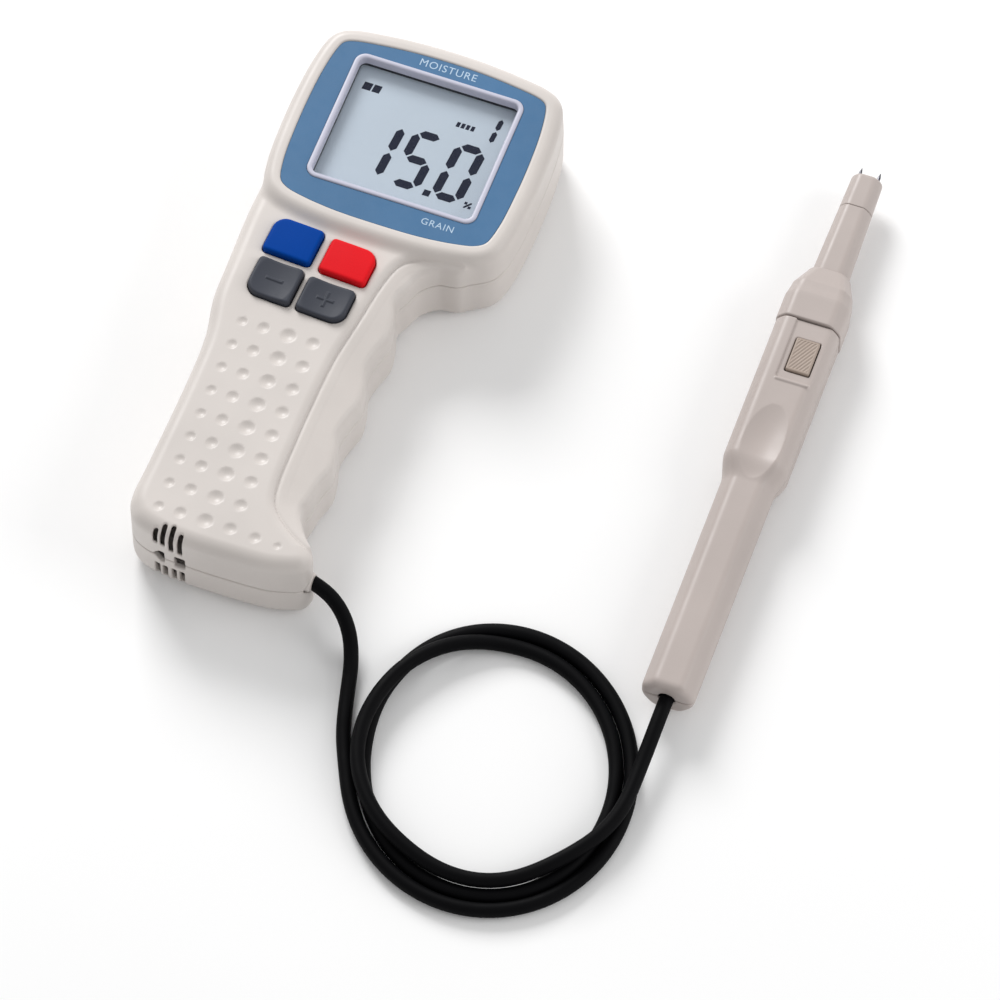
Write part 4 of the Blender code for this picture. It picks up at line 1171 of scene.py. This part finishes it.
def add_screw(name, node, place, radius, shank, tip_z, head_z):
    side = around(0, 2 * radius, 0.6, 0.22)
    axes = (side, side, axis_steps(head_z[0] - 0.6, tip_z + 0.6, 0.22))
    field = screw_field(radius, shank, tip_z, head_z)
    add_net(name, field, axes, "steel", 0.1, place=place, replaces=[node])


def add_case_screws():
    for i, (x, y, tip_z) in enumerate(CASE_SCREWS):
        place = Matrix.Translation(Vector((x, y, 0)) * MM)
        names = (f"case_fixing_{i + 1}", f"case_screw_{i + 1}")
        add_screw(*names, place, 2.5, 1.15, tip_z, SCREW_HEAD_Z)


# Display


def inset_outline(outline, distance):
    """A closed outline moved inwards along its normals."""
    along = np.roll(outline, -1, axis=0) - np.roll(outline, 1, axis=0)
    along /= np.linalg.norm(along, axis=1)[:, None]
    return outline + np.column_stack([-along[:, 1], along[:, 0]]) * distance


def text_mesh(name, words, size, centre, low_z, high_z):
    curve = bpy.data.curves.new(name, "FONT")
    curve.body = words
    curve.size = size * MM
    curve.align_x, curve.align_y = "CENTER", "CENTER"
    curve.extrude = (high_z - low_z) / 2 * MM
    curve.space_character = 1.12
    curve.resolution_u = 6
    return curve_mesh(curve, *centre, (low_z + high_z) / 2)


def ink(shape, outline):
    """A thin plate on the display glass over a closed outline."""
    levels = (LCD_TOP_Z, LCD_TOP_Z + LCD_INK_Z)
    base, top = [[shape.verts.new((x, y, z)) for x, y in outline] for z in levels]
    shape.faces.new(base[::-1])
    shape.faces.new(top)
    for i in range(len(outline)):
        j = (i + 1) % len(outline)
        shape.faces.new((base[i], base[j], top[j], top[i]))


def segment(shape, start, end, width, slant):
    """One display segment: a bar with pointed ends, leaning with the digit."""
    start, end = Vector(start), Vector(end)
    along = (end - start).normalized()
    side = Vector((-along.y, along.x))
    half = width / 2
    corners = [
        start, start + (along - side) * half, end - (along + side) * half,
        end, end - (along - side) * half, start + (along + side) * half,
    ]
    ink(shape, [(p.x + slant * p.y, p.y) for p in corners])


DIGIT_BARS = {"0": "abcdef", "1": "bc", "5": "afgcd"}


def digit(shape, which, centre, size, width):
    """A seven-segment digit; centre is the middle of the upright digit before it leans."""
    half_x, half_y = size[0] / 2 - width / 2, size[1] / 2 - width / 2
    gap = 0.16 * width
    cx, cy = centre[0] - DIGIT_SLANT * centre[1], centre[1]
    left, right = cx - half_x, cx + half_x
    top, bottom = cy + half_y, cy - half_y
    bars = {
        "a": ((left + gap, top), (right - gap, top)),
        "b": ((right, top - gap), (right, cy + gap)),
        "c": ((right, cy - gap), (right, bottom + gap)),
        "d": ((left + gap, bottom), (right - gap, bottom)),
        "e": ((left, bottom + gap), (left, cy - gap)),
        "f": ((left, cy + gap), (left, top - gap)),
        "g": ((left + gap, cy), (right - gap, cy)),
    }
    for bar in DIGIT_BARS[which]:
        segment(shape, *bars[bar], width, DIGIT_SLANT)


def mark(shape, low, high):
    """A small display mark between two corners, leaning a little."""
    middle = (low[1] + high[1]) / 2
    corners = [low, (high[0], low[1]), high, (low[0], high[1])]
    ink(shape, [(x + 0.1 * (y - middle), y) for x, y in corners])


def add_digits():
    """The reading, a small digit, and marks for the point, the battery, a unit and percent."""
    shape = bmesh.new()
    for which, x in (("1", -10.4), ("5", 2.2), ("0", 16.1)):
        digit(shape, which, (x, -4.9), DIGIT_SIZE, DIGIT_STROKE)
    digit(shape, "1", (20.0, 13.6), (5.0, 11.2), 1.6)
    mark(shape, (8.2, -16.2), (10.4, -14.0))
    for x in (9.2, 10.8, 12.4, 14.0):
        mark(shape, (x, 11.0), (x + 1.1, 12.8))
    mark(shape, (-23.2, 14.0), (-20.4, 16.8))
    mark(shape, (-19.9, 14.0), (-17.4, 16.8))
    segment(shape, (21.7, -16.2), (23.9, -13.8), 0.6, 0.0)
    mark(shape, (21.6, -14.8), (22.5, -13.9))
    mark(shape, (23.1, -16.1), (24.0, -15.2))
    add_printed("lcd_digits", bmesh_mesh("lcd_digits", shape), "lcd", "ink")


def add_display():
    panel_edge = inset_outline(head_outline(20), PANEL_INSET + 0.05)
    hole = ring_outline(FILM_HOLE_HALF, 3.8, 14)
    film_z = (SEAT_Z + 0.3, SEAT_Z + 0.8)
    mesh = flat_piece_mesh("panel_film", [panel_edge, hole[::-1]], *film_z)
    add_piece("panel_film", mesh, "panel", replaces=["display_panel"])

    inner, outer = ring_outline(OPENING_HALF, 2.2), ring_outline(BEZEL_HALF, 3.7)
    rim = [
        (1.0, 31.05), (1.0, 32.2), (0.96, 32.4), (0.86, 32.54), (0.68, 32.6), (0.36, 32.6),
        (0.17, 32.52), (0.05, 32.34), (0.0, 32.1), (0.0, 29.25), (0.55, 29.2), (0.55, 31.0),
    ]
    mesh = swept_frame("display_frame", inner, outer, rim)
    add_piece("display_frame", mesh, "bezel", replaces=["display_bezel"])

    # The well's walls wear the holder's near-black: its own dark plastic, and painted shade along the
    # far sides where the display sits deep under the bezel.
    inner, outer = ring_outline(OPENING_HALF, 1.2), ring_outline(HOLDER_OUTER_HALF, 1.5)
    well = [(0.0, 28.0), (0.0, 29.05), (1.0, 29.0), (1.0, 21.6), (0.62, 21.6), (0.62, 28.0)]
    mesh = swept_frame("display_well", inner, outer, well)
    add_piece("display_well", mesh, "holder", replaces=["lcd_holder"])

    pane = ring_outline(WINDOW_HALF, 1.0, 6)
    mesh = flat_piece_mesh("display_lens", [pane], *WINDOW_Z, 0.15)
    add_piece("display_lens", mesh, "window", replaces=["display_window"])
    add_digits()


def add_panel_print():
    low, high = SEAT_Z + 0.8, SEAT_Z + 0.84
    for name, words, size, centre in (
        ("print_top", "MOISTURE", 3.7, (0.8, 27.0)),
        ("print_bottom", "GRAIN", 3.3, (17.6, -27.6)),
    ):
        add_printed(name, text_mesh(name, words, size, centre, low, high), "panel", "print")


# Keys


def key_shape(key):
    """Field of a key cap. A grey key is dished and carries a raised sign."""
    centre, size, face = key[1], key[2], key[5]
    c, s = math.cos(KEY_TILT), math.sin(KEY_TILT)

    def field(x, y, z):
        dx, dy = x - centre[0], y - centre[1]
        along, across = dx * c + dy * s, dy * c - dx * s
        outline = key_field(key, x, y, 0.1) + 0.03 * np.maximum(z - KEY_FLANGE_TOP_Z, 0)
        if face == "flat":
            top = KEY_TOP_Z - 0.35 * ((along / size[0] * 2) ** 2 + (across / size[1] * 2) ** 2) / 2
            round_over = 1.1
        else:
            bowl = 1 - (along / (0.44 * size[0])) ** 2 - (across / (0.72 * size[1])) ** 2
            top = KEY_TOP_Z - 0.1 - 0.75 * smooth_max(bowl, 0 * bowl, 0.12)
            sign = np.maximum(np.abs(along) - 2.7, np.abs(across) - 0.42)
            if face == "plus":
                upright = np.maximum(np.abs(across) - 2.7, np.abs(along) - 0.42)
                sign = np.minimum(sign, upright)
            top = top + 0.32 * smooth_step(-sign, -0.25, 0.25)
            round_over = 0.9
        cap = smooth_max(outline, z - top, round_over)
        flange = np.maximum(key_field(key, x, y, KEY_LIP), z - KEY_FLANGE_TOP_Z)
        return np.maximum(smooth_min(cap, flange, 0.4), KEY_BASE_Z - z)

    return field


def add_keys():
    for key in KEYS:
        name, centre, size, _, slot, _ = key
        axes = [around(middle, width, 1.8, 0.26) for middle, width in zip(centre, size)]
        axes.append(axis_steps(KEY_BASE_Z - 0.6, KEY_TOP_Z + 0.6, 0.26))
        cap_name = name.replace("key", "cap")
        add_net(cap_name, key_shape(key), axes, slot, 0.12, body=name, replaces=[name])


# Probe

PROBE_PLACE = Matrix.Translation(Vector(PROBE_ORIGIN) * MM) @ Matrix.Rotation(PROBE_TURN, 4, "Z")


def octagon(x, z, dimensions, k=1.3):
    """Distance to the probe's eight-sided section of (half width, half height, facet)."""
    half_width, half_height, facet = dimensions
    wide, high = np.abs(x) - half_width, np.abs(z) - half_height
    slope = ((np.abs(x) - facet) * 1.25 + high) / math.hypot(1.25, 1.0)
    return smooth_max(smooth_max(wide, high, k), slope, k)


def shrunk(dimensions, thickness):
    half_width, half_height, facet = dimensions
    return half_width - thickness, half_height - thickness, facet - 0.45 * thickness


def blended(first, second, share):
    return tuple(mix(a, b, share) for a, b in zip(first, second))


def thumb_hollow(x, y, z):
    """Depth of the hollow for the thumb, on the button's side."""
    thumb_x = (x - THUMB_CENTRE[0]) / THUMB_SIZE[0]
    thumb_y = (y - THUMB_CENTRE[1]) / THUMB_SIZE[1]
    return np.where(z > 0, THUMB_DEPTH * np.clip(1 - thumb_x**2 - thumb_y**2, 0, 1), 0)


def handle_outside(x, y, z):
    swell = smooth_step(y, *SWELL_Y)
    return octagon(x, z + thumb_hollow(x, y, z), blended(HANDLE_NARROW, HANDLE_WIDE, swell))


def handle_inside(x, y, z):
    swell = smooth_step(y, SWELL_Y[0] + 1, SWELL_Y[1] + 1)
    dimensions = shrunk(blended(HANDLE_NARROW, HANDLE_WIDE, swell), PROBE_WALL)
    hollow = octagon(x, z + thumb_hollow(x, y, z), dimensions, 0.8)
    return np.maximum(hollow, PROBE_END_Y + PROBE_WALL - y)


def handle_body(x, y, z):
    shape = smooth_max(handle_outside(x, y, z), PROBE_END_Y - y, 2.6)
    shape = smooth_max(shape, y - NOSE_Y[0] + 0.3, 0.5)
    shape = np.maximum(shape, -handle_inside(x, y, z))
    cord = np.maximum(np.hypot(x, z) - CORD_DIAMETER / 2 - 0.25, y + 140)
    return cut(shape, cord, 0.4)


def upper_shell(x, y, z):
    shape = smooth_max(handle_body(x, y, z), HALF_GAP - z, 0.5)
    recess = range_box(x, y, RECESS_X, RECESS_Y, 1.0)
    shape = cut(shape, smooth_max(recess, RECESS_Z - z, 0.5), 0.6)
    lip = smooth_max(range_box(x, y, LIP_X, LIP_Y, 0.45), span(z, RECESS_Z - 0.6, LIP_Z), 0.5)
    shape = smooth_min(shape, lip, 0.5)
    half = (BUTTON_SIZE[0] / 2 + 0.3, BUTTON_SIZE[1] / 2 + 0.3)
    opening = np.maximum(rounded_box(x, y, BUTTON_CENTRE, half, 0.5), 2 - z)
    return cut(shape, opening, 0.3)


def lower_shell(x, y, z):
    shape = smooth_max(handle_body(x, y, z), z + HALF_GAP, 0.5)
    for screw_y, base_z in PROBE_SCREWS:
        reach = np.hypot(x, y - screw_y)
        shape = np.minimum(shape, np.maximum(reach - PROBE_SLEEVE, span(z, base_z, -0.6)))
        well = np.maximum(reach - PROBE_HEAD_BORE, z - PROBE_HEAD_Z[1] - 0.3)
        shape = cut(shape, well, 0.5)
        shape = np.maximum(shape, PROBE_SHANK_BORE - reach)
    return shape


def nose_body(x, y, z):
    share = np.clip((y - NOSE_Y[1]) / (NOSE_Y[2] - NOSE_Y[1]), 0, 1)
    lower = blended(HANDLE_WIDE, NOSE_SHOULDER, share)
    share = np.clip((y - NOSE_Y[2]) / (NOSE_Y[3] - NOSE_Y[2]), 0, 1)
    dimensions = blended(lower, NOSE_TOP, share)
    proud = NOSE_PROUD * smooth_step(-y, -1.0, 4.0)
    shape = octagon(x, z, shrunk(dimensions, -proud), 1.2)
    shape = smooth_max(shape, -HANDLE_WIDE[1] - z, 0.6)
    shape = smooth_max(shape, y - NOSE_Y[4], 0.9)
    shape = smooth_max(shape, NOSE_Y[0] - y, 0.5)
    hollow = np.maximum(np.hypot(x, z) - 7.0, y + 3.5)
    shape = np.maximum(shape, -hollow)
    return cut(shape, octagon(x, z, shrunk(TUBE_BASE, -0.3), 0.6), 0.4)


def tube_body(x, y, z):
    share = np.clip((y - NOSE_Y[4] - 0.5) / (TUBE_Y[1] - NOSE_Y[4] - 0.5), 0, 1)
    shape = octagon(x, z, blended(TUBE_BASE, TUBE_TOP, share), 1.0)
    shape = smooth_max(shape, span(y, TUBE_Y[0], TUBE_Y[1] + 0.1), 0.2)
    return np.maximum(shape, -octagon(x, z, shrunk(TUBE_TOP, 0.9), 0.5))


def tip_body(x, y, z):
    share = np.clip((y - TIP_Y[0]) / (TIP_Y[1] - TIP_Y[0]), 0, 1)
    shape = octagon(x, z, shrunk(TUBE_TOP, 0.3 * share), 1.0)
    shape = smooth_max(shape, TIP_Y[0] - 0.1 - y, 0.2)
    shape = smooth_max(shape, y - TIP_Y[1], 1.3)
    for side in (-1, 1):
        reach = np.hypot(x - side * NEEDLE_X, z)
        shape = np.maximum(shape, -np.maximum(reach - SOCKET_BORE, y - SOCKET_END_Y))
        shape = cut(shape, reach - NEEDLE_BORE, 0.35)
    return shape


def button_body(x, y, z):
    """The push button: a block with slanting ribs on a round stem."""
    half = (BUTTON_SIZE[0] / 2, BUTTON_SIZE[1] / 2)
    outline = rounded_box(x, y, BUTTON_CENTRE, half, 0.6)
    diagonal = ((x - BUTTON_CENTRE[0]) * 0.86 - (y - BUTTON_CENTRE[1]) * 0.5) / 0.95
    inside = smooth_step(-outline, 0.5, 1.0)
    ribs = RIB_DEPTH * (np.cos(2 * math.pi * diagonal) - 1) * 0.5 * inside
    block = smooth_max(outline, z - BUTTON_Z[1] - ribs, 0.6)
    stem = np.hypot(x - BUTTON_CENTRE[0], y - BUTTON_CENTRE[1]) - STEM_RADIUS
    stem = np.maximum(stem, span(z, *STEM_Z))
    return np.minimum(np.maximum(block, BUTTON_Z[0] - z), stem)


def add_probe_net(name, node, field, axes):
    add_net(name, field, axes, "probe", 0.15, place=PROBE_PLACE, replaces=[node])


def add_probe_shells():
    handle_y = axis_steps(
        PROBE_END_Y - 0.9, NOSE_Y[0] + 0.6, 0.75,
        [(PROBE_END_Y - 1, -144.0, 0.4), (-74.0, -45.0, 0.5), (-37.0, -10.0, 0.38)],
    )
    side = axis_steps(-11.4, 11.4, 0.42)
    upper_z = axis_steps(-0.5, 10.6, 0.42, [(-0.5, 0.9, 0.2), (8.0, 10.6, 0.25)])
    lower_z = axis_steps(-10.2, 0.6, 0.42, [(-0.9, 0.6, 0.2)])
    upper_axes, lower_axes = (side, handle_y, upper_z), (side, handle_y, lower_z)
    add_probe_net("probe_top_half", "probe_upper_shell", upper_shell, upper_axes)
    add_probe_net("probe_bottom_half", "probe_lower_shell", lower_shell, lower_axes)


def add_probe_front():
    side = axis_steps(-11.4, 11.4, 0.4)
    rise = axis_steps(-10.4, 10.4, 0.4)
    thin = axis_steps(-6.8, 6.8, 0.32)
    flat = axis_steps(-5.8, 5.8, 0.32)
    nose_y, tube_y, tip_y = [
        axis_steps(*run) for run in ((-12.9, 10.2, 0.4), (-2.8, 36.0, 0.4), (35.0, 48.8, 0.3))
    ]
    add_probe_net("probe_collar", "probe_nose", nose_body, (side, nose_y, rise))
    add_probe_net("probe_neck", "probe_tube", tube_body, (thin, tube_y, flat))
    add_probe_net("probe_head", "probe_tip", tip_body, (thin, tip_y, flat))


def add_needles():
    for i, x in enumerate((-NEEDLE_X, NEEDLE_X)):
        profile = [
            (0.0001, 37), (0.42, 37), (0.5, 37.1), (0.5, NEEDLE_TIP_Y - 1.9),
            (0.47, NEEDLE_TIP_Y - 1.6), (0.1, NEEDLE_TIP_Y - 0.08), (0.0001, NEEDLE_TIP_Y),
        ]
        place = Matrix.Translation((x, 0, 0)) @ Matrix.Rotation(-math.pi / 2, 4, "X")
        mesh = lathe(f"pin_{i + 1}", profile, place, 24)
        add_piece(f"pin_{i + 1}", mesh, "needle", place=PROBE_PLACE, replaces=[f"needle_{i + 1}"])


def add_button():
    axes = [around(*reach, 0.6, 0.16) for reach in zip(BUTTON_CENTRE, BUTTON_SIZE)]
    axes.append(axis_steps(STEM_Z[0] - 0.4, BUTTON_Z[1] + 0.5, 0.2))
    where = {"body": "probe_button", "place": PROBE_PLACE}
    add_net("trigger", button_body, axes, "button", 0.08, replaces=["probe_button"], **where)


def add_probe_screws():
    for i, (y, _) in enumerate(PROBE_SCREWS):
        place = PROBE_PLACE @ Matrix.Translation(Vector((0, y, 0)) * MM)
        names = (f"probe_fixing_{i + 1}", f"probe_screw_{i + 1}")
        add_screw(*names, place, 1.8, 0.85, 3.0, PROBE_HEAD_Z)


# CAD nodes that show as they are

PLAIN_NODES = {
    "lcd": ["lcd_glass"],
    "zebra": ["lcd_connector", "temperature_sensor"],
    "board": ["main_board", "probe_board"],
    "switch": [
        "switch_power", "switch_measure", "switch_minus", "switch_plus",
        "sensor_header", "probe_switch", "probe_cord_clamp",
    ],
    "steel": [
        "board_screw_1", "board_screw_2", "contact_bridge", "contact_negative", "contact_positive",
    ],
    "cell": ["battery_1", "battery_2"],
    "box": ["battery_box"],
    "cord": ["inner_lead", "needle_wire_1", "needle_wire_2"],
    "brass": ["needle_socket_1", "needle_socket_2"],
}


def finish_plain_nodes():
    for slot, names in PLAIN_NODES.items():
        for name in names:
            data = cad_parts[name].data
            data.materials.clear()
            data.materials.append(MATERIALS[slot])


add_camera()
add_cord()
add_studio()
add_floor()
add_case()
add_battery_door()
add_collar()
add_case_screws()
add_display()
add_panel_print()
add_keys()
add_probe_shells()
add_probe_front()
add_needles()
add_button()
add_probe_screws()
finish_plain_nodes()
